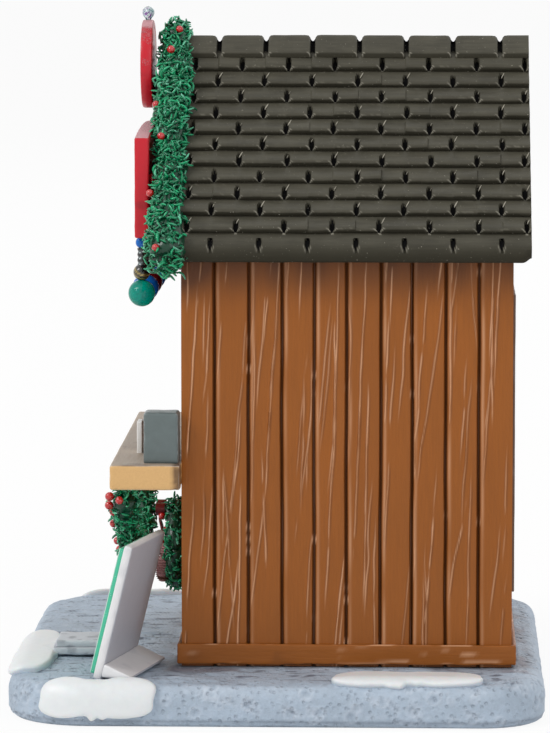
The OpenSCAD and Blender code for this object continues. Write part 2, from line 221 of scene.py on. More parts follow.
def lathe(shape, profile, centre, axis="Z", count=32, paint=None):
    """Turns a profile of (radius, height) pairs, whose ends lie on the axis, round an axis through centre."""
    profile = np.asarray(profile, float)
    angle = np.arange(count) * 2 * math.pi / count
    ring = profile[1:-1, :1]
    wide, deep = ring * np.cos(angle), ring * np.sin(angle)
    high = np.broadcast_to(profile[1:-1, 1:], wide.shape)
    order, direction = {"Z": ((wide, deep, high), (0, 0, 1)), "Y": ((wide, high, deep), (0, 1, 0))}[axis]
    points = np.stack(order, -1) + centre
    tips = np.outer(profile[[0, -1], 1], direction) + centre
    marks = BARE if paint is None else paint(points)
    number = shape.sheet(points, marks, wrap_columns=True)
    tip = shape.add(tips, BARE if paint is None else paint(tips[None])[0])
    shape.fans(number, tip)
    return shape.close()


def ball(radius, count=14):
    """Profile of a sphere for lathe."""
    angle = np.linspace(-math.pi / 2, math.pi / 2, count)
    return [(radius * math.cos(a), radius * math.sin(a)) for a in angle]


def block(shape, low, high, radius, pitch, carve, warp=None):
    """A block with rounded edges. Carve gives how far each point moves out and its paint, from the point,
    its outward direction and how near an edge it is. Warp then moves the points as a whole."""
    low, high = np.asarray(low, float), np.asarray(high, float)
    radius = min(radius, 0.49 * (high - low).min())
    ticks = []
    for a, b in zip(low, high):
        edge = radius * np.array([0, 0.25, 0.55, 1.0])
        inner = steps(a + radius, b - radius, pitch)
        ticks.append(np.concatenate([a + edge[:-1], inner, b - edge[:-1][::-1]]))
    known, points, faces = {}, [], []
    for axis in range(3):
        u, v = [k for k in range(3) if k != axis]
        for side in (0, -1):
            grid = np.zeros((len(ticks[u]), len(ticks[v])), int)
            for i in range(len(ticks[u])):
                for j in range(len(ticks[v])):
                    key = [0, 0, 0]
                    key[u], key[v], key[axis] = i, j, side % len(ticks[axis])
                    key = tuple(key)
                    if key not in known:
                        known[key] = len(points)
                        points.append([ticks[k][key[k]] for k in range(3)])
                    grid[i, j] = known[key]
            if (side == 0) != (axis == 1):
                grid = grid[::-1]
            a, b, c, d = grid[:-1, :-1], grid[1:, :-1], grid[1:, 1:], grid[:-1, 1:]
            faces.append(np.stack([a, b, c, d], -1).reshape(-1, 4))
    points = np.array(points)
    core = np.clip(points, low + radius, high - radius)
    out = unit(points - core)
    points = core + out * radius
    near = 1 - (np.abs(out).max(1) - CORNER) / (1 - CORNER)
    move, paint = carve(points, out, near)
    points = points + out * move[:, None]
    if warp:
        points = warp(points)
    number = shape.add(points, paint)
    shape.faces += [number[face] for face in faces]
    return shape.close()


# ---------------------------------------------------------------- finishes

class Channel:
    """A value in a finish. Arithmetic on it adds the node that does it."""

    def __init__(self, finish, socket):
        self.finish, self.socket = finish, socket

    def calc(self, operation, *values):
        """A math node, or a vector one where any of the values is a vector."""
        is_vector = lambda v: v.socket.type == "VECTOR" if isinstance(v, Channel) else isinstance(v, tuple)
        kind = "ShaderNodeVectorMath" if any(map(is_vector, values)) else "ShaderNodeMath"
        return self.finish.node(kind, {"operation": operation}, dict(enumerate(values)))

    def __add__(self, other):
        return self.calc("ADD", self, other)

    def __radd__(self, other):
        return self.calc("ADD", other, self)

    def __sub__(self, other):
        return self.calc("SUBTRACT", self, other)

    def __rsub__(self, other):
        return self.calc("SUBTRACT", other, self)

    def __mul__(self, other):
        return self.calc("MULTIPLY", self, other)

    def __rmul__(self, other):
        return self.calc("MULTIPLY", other, self)

    def between(self, low, high):
        """0 below low, 1 above high and an even rise between them."""
        values = {"Value": self, "From Min": low, "From Max": high}
        return self.finish.node("ShaderNodeMapRange", {"interpolation_type": "SMOOTHSTEP"}, values)

    def mix(self, first, second):
        """The first colour where this is 0 and the second where it is 1."""
        values = {0: self, 6: first, 7: second}
        return self.finish.node("ShaderNodeMix", {"data_type": "RGBA"}, values, output=2)


def tint(colour, strength=1.0):
    """A written colour as the shader takes it."""
    plain = [((c + 0.055) / 1.055) ** 2.4 if c > 0.04045 else c / 12.92 for c in colour]
    return (*(strength * c for c in plain), 1.0)


class Finish:
    """A painted surface: one Principled shader and the nodes that feed it."""

    def __init__(self, name, **constants):
        self.material = bpy.data.materials.new(name)
        self.material.use_nodes = True
        self.tree = self.material.node_tree
        self.shader = self.tree.nodes["Principled BSDF"]
        for key, value in constants.items():
            self.set(key.replace("_", " "), value)
        spot = self.node("ShaderNodeTexCoord", {}, {}, output="Object")
        self.spot = self.node("ShaderNodeVectorMath", {"operation": "SCALE"}, {0: spot, "Scale": 1 / MM})
        colour = self.node("ShaderNodeVertexColor", {"layer_name": "paint"}, {})
        split = self.node("ShaderNodeSeparateColor", {}, {0: colour}).socket.node
        self.light, self.dark, self.shade = (Channel(self, split.outputs[k]) for k in range(3))

    def node(self, kind, settings, values, output=0):
        """Adds a node, sets it, feeds its sockets and gives one of its outputs."""
        node = self.tree.nodes.new(kind)
        for key, value in settings.items():
            setattr(node, key, value)
        for key, value in values.items():
            self.feed(node.inputs[key], value)
        return Channel(self, node.outputs[output])

    def feed(self, socket, value):
        """Links a channel to a socket, or sets a plain value on it."""
        if isinstance(value, Channel):
            self.tree.links.new(value.socket, socket)
        else:
            socket.default_value = value

    def set(self, name, value):
        """Feeds a socket of the shader."""
        self.feed(self.shader.inputs[name], value)

    def noise(self, size, seed=0, detail=3.0, rough=0.55, stretch=(1, 1, 1), bend=0.0):
        """Noise from 0 to 1 with lumps about size millimetres across, stretched by as many times."""
        spot = self.spot * tuple(1 / (size * s) for s in stretch)
        values = {"Vector": spot, "W": float(seed), "Scale": 1.0, "Detail": detail, "Roughness": rough,
                  "Distortion": bend}
        return self.node("ShaderNodeTexNoise", {"noise_dimensions": "4D"}, values)

    def cells(self, size):
        """Distance from the middle of each cell, in cells about size millimetres across."""
        spot = self.spot * (1 / size, 1 / size, 1 / size)
        return self.node("ShaderNodeTexVoronoi", {}, {"Vector": spot, "Scale": 1.0})

    def relief(self, height, depth):
        """Fine relief: a height from 0 to 1 times a depth in millimetres."""
        bump = self.node("ShaderNodeBump", {}, {"Height": height, "Distance": depth * MM, "Strength": 1.0})
        self.set("Normal", bump)

    def coat(self, base, light, dark, light_amount=1.0, dark_amount=1.0):
        """The base colour with the dark channel (wash, dark joints and painted shade) and then the light
        channel (worn edges, grain and painted highlights) over it.
        """
        washed = (self.dark * dark_amount).mix(base, dark)
        return (self.light * light_amount).mix(washed, light)


# ---------------------------------------------------------------- sizes and colours

def length(name, description, default):
    """A size kept in metres and written here in millimetres."""
    return bpy.props.FloatProperty(name=name, description=description, default=default * MM, min=0.0,
                                   precision=5, unit="LENGTH")


def paint(name, description, *default):
    """A paint colour as it looks."""
    return bpy.props.FloatVectorProperty(name=name, description=description, default=default, size=3, min=0.0,
                                         max=1.0, subtype="COLOR_GAMMA")


class HutSizes(bpy.types.PropertyGroup):
    """Sizes of the carved detail."""

    roof_slope: bpy.props.FloatProperty(name="Roof slope", description="Slope of the roof",
                                        default=math.radians(41.4), subtype="ANGLE")
    joint_first: length("First joint", "Distance from the front edge of the roof to the first joint", 8.7)
    shingle_row: length("Shingle row", "Spacing of the shingle rows across the roof, seen from above", 3.67)
    shingle_first: length("First butt", "Distance from the ridge to the butts of the first row", 6.42)
    shingle_butt: length("Butt height", "Height of the shingles' lower edges", 1.5)
    shingle_width: length("Shingle width", "Spacing of the joints along a row", 10.22)
    joint_width: length("Joint width", "Width of the slots between shingles", 0.92)
    groove_width: length("Groove width", "Width of the grooves between wall boards", 0.66)
    groove_depth: length("Groove depth", "Depth of the grooves between wall boards", 0.6)
    grain_depth: length("Grain depth", "Depth of the grain lines carved in the boards", 0.2)
    strand_length: length("Strand length", "Length of the strands of the garlands", 2.4)
    strand_width: length("Strand width", "Thickness of the strands of the garlands", 0.6)
    berry: length("Berry", "Radius of the berries", 0.92)
    pit_depth: length("Pit depth", "Depth of the pits in the stone", 0.5)
    board_width: length("Board width", "Width of the standing board", 25.6)
    board_length: length("Board length", "Length of the standing board", 29.7)
    board_x: length("Board place", "Distance from the middle of the hut to the standing board", 44.3)
    board_off: length("Board distance", "Distance from the front wall to the standing board", 16.2)
    board_lean: bpy.props.FloatProperty(name="Board lean", description="Lean of the standing board",
                                        default=math.radians(14), subtype="ANGLE")
    board_turn: bpy.props.FloatProperty(name="Board turn", description="Turn of the standing board",
                                        default=math.radians(12.8), subtype="ANGLE")


class HutColours(bpy.types.PropertyGroup):
    """Colours of the paint."""

    # Plinth; the snow's edge also blends towards it as painted shade
    stone: paint("Stone", "Plinth", 0.665, 0.725, 0.79)
    # Worn and drybrushed light on the plinth, and the painted highlights on the rims of its pits
    stone_light: paint("Stone edges", "Worn edges of the plinth", 0.80, 0.84, 0.89)
    # Wash in the plinth's hollows, pits and cracks, and the painted shade along the foot of the sills
    stone_dark: paint("Stone wash", "Wash in the hollows of the plinth", 0.30, 0.32, 0.38)
    stone_plum: paint("Plum wash", "Wash on the top of the plinth near the hut", 0.52, 0.51, 0.545)
    pad: paint("Pad", "Square stone pad", 0.80, 0.82, 0.85)
    snow: paint("Snow", "Snow patches", 0.89, 0.905, 0.912)
    wood: paint("Wood", "Walls and sills", 0.572, 0.320, 0.076)
    # Grain lines, drybrushed and painted as highlights on their carved edges, the painted highlights beside
    # the grooves, beads and worn edges
    wood_light: paint("Wood grain", "Grain lines and board edges", 0.90, 0.70, 0.55)
    # Wash in the grooves and in patches, and painted shade: the roof's shadow below the eaves, the walls'
    # foot and beside the grain lines
    wood_dark: paint("Wood wash", "Wash in the grooves", 0.24, 0.115, 0.04)
    panel: paint("Panel", "Panel on the back wall", 0.42, 0.33, 0.28)
    roof: paint("Roof", "Faces of the shingles", 0.285, 0.275, 0.235)
    # Painted highlights and glints on the shingles' edges, joints and faces
    roof_highlight: paint("Roof edges", "Worn edges of the shingles", 0.72, 0.70, 0.64)
    # Wash and painted shade on the butts, painted shade under the rows, on the eave and under the roof, and
    # the joints
    roof_dark: paint("Roof wash", "Butts and joints of the shingles", 0.185, 0.175, 0.14)
    counter_edge: paint("Counter edge", "Sides of the counter", 0.86, 0.70, 0.47)
    counter_top: paint("Counter top", "Top of the counter", 0.66, 0.62, 0.56)
    cash: paint("Cash box", "Cash box", 0.36, 0.405, 0.405)
    card: paint("Card", "Price card", 0.93, 0.93, 0.92)
    sign: paint("Sign", "Red of the signs", 0.78, 0.10, 0.165)
    frost: paint("Frost", "Frosting on the signs", 0.80, 0.60, 0.62)
    black: paint("Black", "Brackets", 0.07, 0.07, 0.075)
    leaf: paint("Leaf", "Garlands and wreath", 0.0, 0.54, 0.35)
    # Painted highlights on the strands
    leaf_highlight: paint("Leaf tips", "Tips of the strands", 0.50, 0.84, 0.71)
    # Painted shade deep in the garlands and the wreath, at the strand roots and on their cores; also the line
    # round the board's picture
    leaf_dark: paint("Leaf core", "Inside of the garlands", 0.0, 0.22, 0.14)
    red: paint("Berry", "Berries", 0.74, 0.05, 0.07)
    maroon: paint("Bow", "Bow of the wreath", 0.42, 0.05, 0.09)
    cone: paint("Cone", "Cones of the wreath", 0.50, 0.33, 0.28)
    glass_green: paint("Green glass", "Lowest ball of the outer ornaments", 0.0, 0.64, 0.56)
    glass_blue: paint("Blue glass", "Bulbs and inner balls", 0.08, 0.45, 0.82)
    gold: paint("Gold", "Ring on the black balls", 0.80, 0.70, 0.42)
    mint: paint("Mint", "Front of the standing board", 0.26, 0.75, 0.60)
    board: paint("Board", "Edges of the standing board", 0.90, 0.90, 0.905)
    board_back: paint("Board back", "Back of the standing board and its foot", 0.70, 0.71, 0.745)
    floor: paint("Floor", "Floor and backdrop", 0.97, 0.97, 0.97)


def sizes():
    """The sizes that the scene holds."""
    return bpy.context.scene.hut_sizes


def colour(name, strength=1.0):
    """One of the scene's colours for a shader, made lighter or darker by strength."""
    return tint(getattr(bpy.context.scene.hut_colours, name), strength)


def size(name):
    """One of the scene's sizes, in millimetres."""
    return getattr(sizes(), name) / MM


# ---------------------------------------------------------------- finishes of the pieces

def stone_finish():
    f = Finish("stone", Roughness=0.55)
    broad, fine = f.noise(9, 1, 4), f.noise(1.1, 2, 5, 0.65)
    pits = f.cells(1.3).between(0.08, 0.40)
    base = (broad + fine - 1).between(-0.35, 0.35).mix(colour("stone", 0.86), colour("stone", 1.08))
    base = f.shade.between(0.5, 1.0).mix(base, colour("stone_plum"))
    tone = f.coat(base, colour("stone_light"), colour("stone_dark"), 0.75, 0.95)
    f.set("Base Color", (0.12 - 0.12 * pits).mix(tone, colour("stone_dark")))
    f.set("Roughness", 0.42 + 0.3 * fine)
    f.relief(0.5 * fine + 0.35 * pits + 0.15 * f.noise(0.35, 3, 2), 0.7)
    return f.material


def pad_finish():
    f = Finish("pad_stone", Roughness=0.6)
    fine = f.noise(0.8, 5, 4, 0.6)
    base = f.noise(5, 4, 2).mix(colour("pad", 0.88), colour("pad", 1.05))
    f.set("Base Color", f.coat(base, colour("snow"), colour("stone_dark"), 0.6, 0.6))
    f.set("Roughness", 0.5 + 0.2 * fine)
    f.relief(fine, 0.2)
    return f.material


def snow_finish():
    f = Finish("snow", Roughness=0.35, Subsurface_Weight=0.12, Subsurface_Scale=0.001)
    fine = f.noise(2.2, 7, 3)
    base = fine.mix(colour("snow", 0.92), colour("snow", 1.04))
    # The dark channel blends the snow towards the stone colour as painted shade along its edge.
    f.set("Base Color", (f.dark * 0.45).mix(base, colour("stone")))
    f.set("Roughness", 0.28 + 0.2 * fine)
    f.relief(fine, 0.12)
    return f.material


def wood_finish(name, stretch):
    f = Finish(name, Specular_IOR_Level=0.3, Coat_Roughness=0.2)
    fibre = f.noise(0.5, 11, 3, 0.6, stretch)
    cloud = f.noise(12, 12, 3, 0.5, (1, 1, 2))
    base = (0.45 * fibre + 0.55 * cloud).between(0.25, 0.75).mix(colour("wood", 0.86), colour("wood", 1.10))
    base = f.shade.mix(base, colour("wood", 0.9))
    f.set("Base Color", f.coat(base, colour("wood_light"), colour("wood_dark"), 0.9, 1.0))
    f.set("Roughness", 0.40 + 0.18 * cloud)
    f.set("Coat Weight", 0.04 + 0.08 * cloud)
    f.relief(fibre + 0.4 * f.noise(0.9, 13, 2), 0.07)
    return f.material


def panel_finish():
    f = Finish("panel", Roughness=0.6)
    fibre = f.noise(0.6, 15, 3, 0.6, (1, 1, 12))
    base = fibre.mix(colour("panel", 0.75), colour("panel", 1.15))
    f.set("Base Color", f.coat(base, colour("pad"), colour("wood_dark"), 0.18, 0.8))
    f.relief(fibre, 0.1)
    return f.material


def roof_finish():
    f = Finish("shingle", Specular_IOR_Level=0.12, Coat_Roughness=0.35)
    streak = f.noise(0.42, 21, 4, 0.6, (4, 14, 1), 0.3)
    cloud = f.noise(7, 22, 3)
    speck = f.noise(0.4, 23, 2)
    base = (0.5 * streak + 0.5 * cloud).between(0.3, 0.72).mix(colour("roof", 0.68), colour("roof", 1.28))
    base = (0.6 * f.shade).mix(base, colour("roof", 1.2))
    tone = f.coat(base, colour("roof_highlight"), colour("roof_dark"))
    tone = f.dark.between(0.93, 0.99).mix(tone, colour("black", 0.4))
    # Light specks over the shingles are painted glints.
    f.set("Base Color", (speck.between(0.67, 0.76) * 0.6).mix(tone, colour("roof_highlight")))
    f.set("Roughness", 0.45 + 0.25 * streak + 0.35 * f.dark)
    f.set("Coat Weight", 0.18 - 0.18 * f.dark)
    f.relief(0.7 * streak + 0.3 * speck, 0.11)
    return f.material


def counter_finish():
    f = Finish("counter", Roughness=0.5)
    fibre = f.noise(0.5, 31, 3, 0.6, (12, 1, 1))
    base = f.shade.mix(colour("counter_edge"), colour("counter_top"))
    base = (0.3 * fibre).mix(base, colour("wood"))
    f.set("Base Color", f.coat(base, colour("card", 0.85), colour("wood_dark"), 0.55, 0.8))
    f.set("Roughness", 0.42 + 0.2 * fibre)
    f.relief(fibre, 0.08)
    return f.material


def plain_finish(name, base, light, dark, rough, grain, depth, coat=0.0, metal=0.0):
    """A plain coat of paint with a faint mottle, its own light colour for worn edges and its own dark colour
    for wash, print and, on the cash box, painted shade.
    """
    f = Finish(name, Metallic=metal, Coat_Weight=coat, Coat_Roughness=0.1)
    mottle = f.noise(grain, 41, 4, 0.6)
    tone = mottle.mix(colour(base, 0.86), colour(base, 1.12))
    f.set("Base Color", f.coat(tone, colour(light), colour(dark), 0.8, 0.8))
    f.set("Roughness", rough + 0.15 * mottle)
    f.relief(mottle, depth)
    return f.material


def sign_finish():
    f = Finish("sign_red", Specular_IOR_Level=0.3, Coat_Weight=0.12, Coat_Roughness=0.2)
    speck = f.noise(0.32, 51, 3, 0.7)
    cloud = f.noise(4, 52, 3)
    tone = cloud.mix(colour("sign", 0.85), colour("sign", 1.1))
    frost = (f.light * 1.5 + speck - 1).between(-0.05, 0.35)
    tone = (f.dark * 0.7).mix(tone, colour("maroon"))
    f.set("Base Color", frost.mix(tone, colour("frost")))
    f.set("Roughness", 0.32 + 0.5 * frost)
    f.relief(frost * speck, 0.25)
    return f.material


def leaf_finish():
    f = Finish("leaf", Specular_IOR_Level=0.25, Coat_Weight=0.45, Coat_Roughness=0.05)
    patch = f.noise(2.5, 61, 3)
    tone = f.shade.mix(colour("leaf", 0.35), colour("leaf", 2.0))
    tone = (patch * 0.4).mix(tone, colour("leaf", 0.8))
    # The light colour is painted highlight on the strands; the dark colour is painted shade at their roots
    # and in the cores.
    f.set("Base Color", f.coat(tone, colour("leaf_highlight"), colour("leaf_dark"), 0.75, 1.0))
    f.set("Roughness", 0.28 + 0.2 * patch)
    f.relief(f.noise(0.4, 62, 2), 0.02)
    return f.material


def glass_finish(name, base, clear):
    """Tinted glass with faint swirls."""
    f = Finish(name, Roughness=0.06, Transmission_Weight=clear, IOR=1.4, Specular_IOR_Level=0.3)
    swirl = f.noise(1.3, 71, 2, 0.5, (1, 1, 1), 1.5)
    tone = swirl.mix(colour(base, 0.7), colour(base, 1.3))
    f.set("Base Color", f.coat(tone, colour("gold"), colour("black")))
    f.relief(swirl, 0.05)
    return f.material


def finial_finish():
    f = Finish("finial_glass", Roughness=0.08, Transmission_Weight=0.45, IOR=1.45, Coat_Weight=0.6)
    swirl = f.noise(1.1, 73, 2, 0.5, (1, 1, 2), 2.0)
    tone = swirl.between(0.40, 0.50).mix(tint((0.03, 0.42, 0.42)), tint((0.90, 0.95, 0.96)))
    tone = swirl.between(0.52, 0.60).mix(tone, tint((0.45, 0.20, 0.55)))
    f.set("Base Color", (f.light * 0.6).mix(tone, tint((0.92, 0.95, 0.96))))
    f.relief(swirl, 0.05)
    return f.material


def mint_finish():
    f = Finish("board_mint", Roughness=0.4, Coat_Weight=0.3)
    glitter = f.cells(0.55).between(0.16, 0.08)
    cloud = f.noise(3, 81, 3)
    tone = cloud.mix(colour("mint", 0.82), colour("mint", 1.1))
    f.set("Base Color", (glitter * 0.75).mix(f.coat(tone, colour("board"), colour("leaf_dark"), 0.7, 0.6),
                                             tint((0.88, 0.97, 0.93))))
    f.set("Roughness", 0.45 - 0.25 * glitter)
    f.relief(glitter + 0.3 * cloud, 0.08)
    return f.material


def neck_finish():
    """Black glass with a gold ring, and grey stripes round the neck above it."""
    f = Finish("neck", Coat_Weight=0.5, Roughness=0.25)
    tone = f.shade.mix(colour("black"), colour("cash"))
    f.set("Base Color", f.light.mix(tone, colour("gold")))
    f.set("Metallic", 0.7 * f.light + 0.5 * f.shade)
    f.relief(f.noise(0.5, 75, 2), 0.04)
    return f.material


def board_finish():
    f = Finish("board", Coat_Weight=0.15, Coat_Roughness=0.3)
    cloud = f.noise(3.5, 77, 3)
    tone = f.shade.mix(colour("board", 0.97), colour("board_back"))
    tone = (0.25 * cloud).mix(tone, colour("board_back"))
    f.set("Base Color", f.coat(tone, colour("board"), colour("board_back"), 0.7, 0.6))
    f.set("Roughness", 0.35 + 0.2 * cloud)
    f.relief(cloud, 0.08)
    return f.material


# ---------------------------------------------------------------- roof

def row_places(low, high, centres, offsets):
    """Places along a row of shingles: close together at the joints and at both ends."""
    y = np.sort(np.concatenate([centres + o for o in offsets]))
    y = y[(y > low + 0.3) & (y < high - 0.3)]
    return np.concatenate([[low, low + 0.25], y, [high - 0.25, high]])


def shingle_row(y, ends, full, butt, joints, rng, seed, raised=0.0):
    """One row of shingles: distances up the slope from its butts, heights, places and paint."""
    joint = size("joint_width") / 2
    shift = np.interp(y, [ends[0], *joints, ends[1]], [0, *rng.normal(0, 0.22, len(joints)), 0])
    nearest = np.abs(y[:, None] - joints[None, :]).argmin(1)
    dy = (y - joints[nearest])[None, :]
    shingle = np.searchsorted(joints, y)
    up = np.array([-full, 0.35 - full, -3.85, -3.5, -3.1, -2.65, -2.25, -1.7, -1.15, -0.7, -0.33, -0.07, 0.02,
                   -0.06])
    a = up[:, None] + 0 * dy
    h = (raised + (1 - raised) * (a + full) / full) * butt
    h[-6:] += np.array([-0.03, -0.10, -0.26, -0.52, -0.62 * butt, -butt])[:, None]
    face, edge = a < -0.1, (np.arange(len(up)) > 8)[:, None]
    lift, lean = (rng.normal(0, 0.09, len(joints) + 1)[shingle] for _ in range(2))
    lift = lift + lean * dy / 4
    h += lift * smooth(a, -full, -full + 2.5) * (np.arange(len(up)) < 12)[:, None]
    a = a + edge * (rng.normal(0, 0.13, len(joints) + 1)[shingle] + 0.08 * along(y, 2.3, seed))
    h += 0.05 * noise(np.stack([a, y + 0 * a, h], -1), (0.8, 5, 3), seed, 2) * face

    strength = rng.uniform(0.25, 1.0, len(joints))[nearest][None, :]
    top = -3.7 + rng.normal(0, 0.2, len(joints))[nearest][None, :]
    row = np.arange(len(up))[:, None]
    wide = np.select([row > 12, row == 12, row == 11, row < 5], [0.2, 0.6, 0.9, 0.7], 1.05)
    inside = (np.abs(dy) < joint * wide) & (a > top)
    corner = smooth(1.15 - np.abs(dy), 0, 0.7) * smooth(a, -0.9, -0.1) * ~inside
    h = np.where(inside, np.maximum(h - 1.35, -0.12), h - 0.15 * corner)
    a = a - 0.25 * corner

    # Painted highlights: the light V arms on the shingle corners beside each joint, and glints along the
    # lower edge and the top of each face, brighter near both ends of the row.
    arm_places = ((2.1, 0.4), (1.4, 0.9), (1.0, 1.0), (0.3, 1.0))
    arms = np.select([row == k for k in (10, 11, 12, 13)],
                     [bright * hump(np.abs(dy) - joint * off, 0.13) for off, bright in arm_places], 0.0)
    edge_glints = smooth(along(y, 0.55, seed + 3), 0.35, 0.6) * smooth(along(y, 6, seed + 4), -0.2, 0.5)
    end_glints = 1.6 * hump(y - ends[0] - 1.5, 3.5) + hump(y - ends[1], 2.5)
    light = arms * (0.3 + 0.6 * strength)
    light = light + (0.8 * (row == 10) + 0.5 * (row == 1)) * (0.03 + 0.25 * edge_glints * (0.5 + end_glints))
    # Painted shade at the top of each face, under the butts above; the butts are darkened by wash and painted
    # shade; the slots are dark joints.
    dark = np.select([row == 0, row == 1, row >= 12, row == 11, row == 10, row == 9],
                     [0.85, 0.2, 0.88, 0.7, 0.35, 0.12], 0.0) + 0 * dy
    dark = np.where(inside, 1.0, dark) * (1 - 0.8 * np.clip(arms * (row > 11) * strength, 0, 1))
    shade = rng.uniform(0, 0.6, len(joints) + 1)[shingle] + 0.25 * along(y, 3, seed + 5)
    shade = np.clip(shade, 0, 1) + 0 * a
    return a, h - butt / 2, y + shift + 0 * a, np.stack([light, dark, shade], -1)


def roof_slope(side, node, name, seed):
    """One slope of the roof: twelve rows of thick shingles over a heavy eave."""
    low, high = box(node)
    reach, ridge, slope = max(high[0], -low[0]), high[2], sizes().roof_slope
    cos, sin, tan = math.cos(slope), math.sin(slope), math.tan(slope)
    rng = np.random.default_rng(seed)
    butt, pitch, half = size("shingle_butt"), size("shingle_row") / cos, size("shingle_width") / 2
    centres = low[1] + size("joint_first") + half * np.arange(-3, 16)
    joint = size("joint_width") / 2
    near = (0.3, 1.0, 1.4, 2.1, 3.1, 4.6)
    offsets = [joint * k * turn for k in near for turn in (-1, 1)] + [half / 2]
    y = row_places(low[1], high[1], centres, offsets)
    along_slope, height, place, marks, glint_slivers = [], [], [], [], []
    start, butt_at, row = 2.6 / cos, size("shingle_first") / cos, 0
    while butt_at < reach / cos - 1:
        joints = centres[row % 2::2]
        joints = joints[(joints > low[1] + 0.8) & (joints < high[1] - 0.8)]
        a, h, py, mark = shingle_row(y, (low[1], high[1]), butt_at - start, butt, joints, rng,
                                     seed + 10 * row, 0.0 if row else 0.6)
        along_slope.append(a + butt_at)
        height.append(h)
        place.append(py)
        marks.append(mark)
        glint_slivers += [(butt_at, joint_at) for joint_at in joints] if row else []
        start, butt_at, row = butt_at, butt_at + pitch, row + 1
    s, h, py = (np.concatenate(part) for part in (along_slope, height, place))
    marks = np.concatenate(marks)
    x, z = s * cos + h * sin, ridge - s * sin + h * cos

    eave = ridge - reach * tan
    under = eave - low[2]
    wear = 0.06 * along(y, 4, seed + 200, 2)
    rim = np.array([[reach - 1.2, eave + 0.35], [reach - 0.45, eave - 0.2], [reach - 0.08, eave - 0.8],
                    [reach, eave - 1.6], [reach - 0.04, eave - 2.5], [reach - 0.4, eave - 3.2],
                    [reach - 1.2, eave - 3.55]])
    face = np.array([1.9, 1.3, 1.2, 0.6])  # steps back from the rim over the last row's face
    rim = np.concatenate([np.stack([reach - 1.2 - face, eave + 0.35 + face * tan], -1), rim])
    round_off = smooth(np.arange(len(rim)) - len(face), 1, 5)[:, None]
    base = np.array([[b, ridge - b * tan - under] for b in (reach - 3, reach * 0.6, reach * 0.3, 0)])
    head = np.array([[0, ridge - 0.4], [1.2, ridge - 0.4 - 1.2 * tan]])
    rounding = smooth(y, high[1] - 2.4, high[1]) ** 2
    rim_x = rim[:, :1] + wear - 1.1 * rounding * round_off
    rim_z = rim[:, 1:] + wear + 0.9 * rounding * round_off
    flat = lambda v: v[:, None] + 0 * y
    dy = np.abs(y[:, None] - centres[row % 2::2]).min(1)
    slot = dy < joint * np.array([0, 0, 0.7, 1.05, 1.05, 1.05, 0.6, 0, 0, 0, 0])[:, None]
    rim_x = rim_x - 0.9 * slot
    x = np.concatenate([flat(head[:, 0]), x, rim_x, flat(base[:, 0])])
    z = np.concatenate([flat(head[:, 1]), z, rim_z, flat(base[:, 1])])
    py = np.concatenate([np.tile(y, (2, 1)), py, np.tile(y, (len(rim) + 4, 1))])
    # The eave's face darkens downward and under it as painted shade; rim_light puts painted highlights on the
    # edges beside the slots, which are dark joints.
    rim_light = np.array([0, 0, 0, 0, 0, 0.3, 0.35, 0, 0, 0, 0])[:, None] * hump(
        dy - joint * np.array([0, 0, 0, 0, 0, 1.4, 1.0, 0, 0, 0, 0])[:, None], 0.13)
    rim_dark = np.array([0.3, 0.15, 0.1, 0.1, 0.25, 0.45, 0.65, 0.8, 0.92, 0.92, 0.92])[:, None]
    rim_dark = np.where(slot, 1, rim_dark) * (1 - rim_light)
    rim_marks = np.stack([rim_light, rim_dark, 0.2 + 0 * rim_light], -1)
    # The strip under the ridge cap and the underside of the slope are painted dark as shade.
    plain = lambda count: np.broadcast_to([0.0, 0.75, 0.3], (count, len(y), 3))
    marks = np.concatenate([plain(2), marks, rim_marks, plain(4)])
    points = np.stack([side * np.maximum(x, 0), py, z], -1)
    shape = Shape().sweep(points.transpose(1, 0, 2), marks.transpose(1, 0, 2))
    # A raised sliver up the slope from most joints, painted light as the highlight that glints on it.
    for butt_at, joint_at in glint_slivers:
        if rng.uniform() < 0.2:
            continue
        long, thick = rng.uniform(0.6, 1.0), rng.uniform(0.09, 0.15)
        # how far up the slope, how high and how far along the row each ring of the sliver lies
        run = np.array([[-1.9, 0.24, 0.25], [-2.9, -0.07, 0.5], [-3.7, -0.31, 0.72], [-4.35, -0.5, 0.9]])
        run = run[:2 + int(long > 0.7) + int(long > 0.8)]
        rings = []
        for k, (a, h, dy) in enumerate(run):
            w = thick * (0.4 if k in (0, len(run) - 1) else 1)
            ring = [(butt_at + a + u, h + v, joint_at + dy + t) for u, v, t in
                    ((0, 0.05, -w), (w, 0.05, 0), (0, 0.05, w), (0, -0.3, 0))]
            rings.append([(side * (s * cos + h * sin), t, ridge - s * sin + h * cos) for s, h, t in ring])
        shape.sweep(np.array(rings), (0.8 * long, 0, 0.5))
    return shape.make(name, FINISHES["roof"], "roof_paint", node, sharp=38)


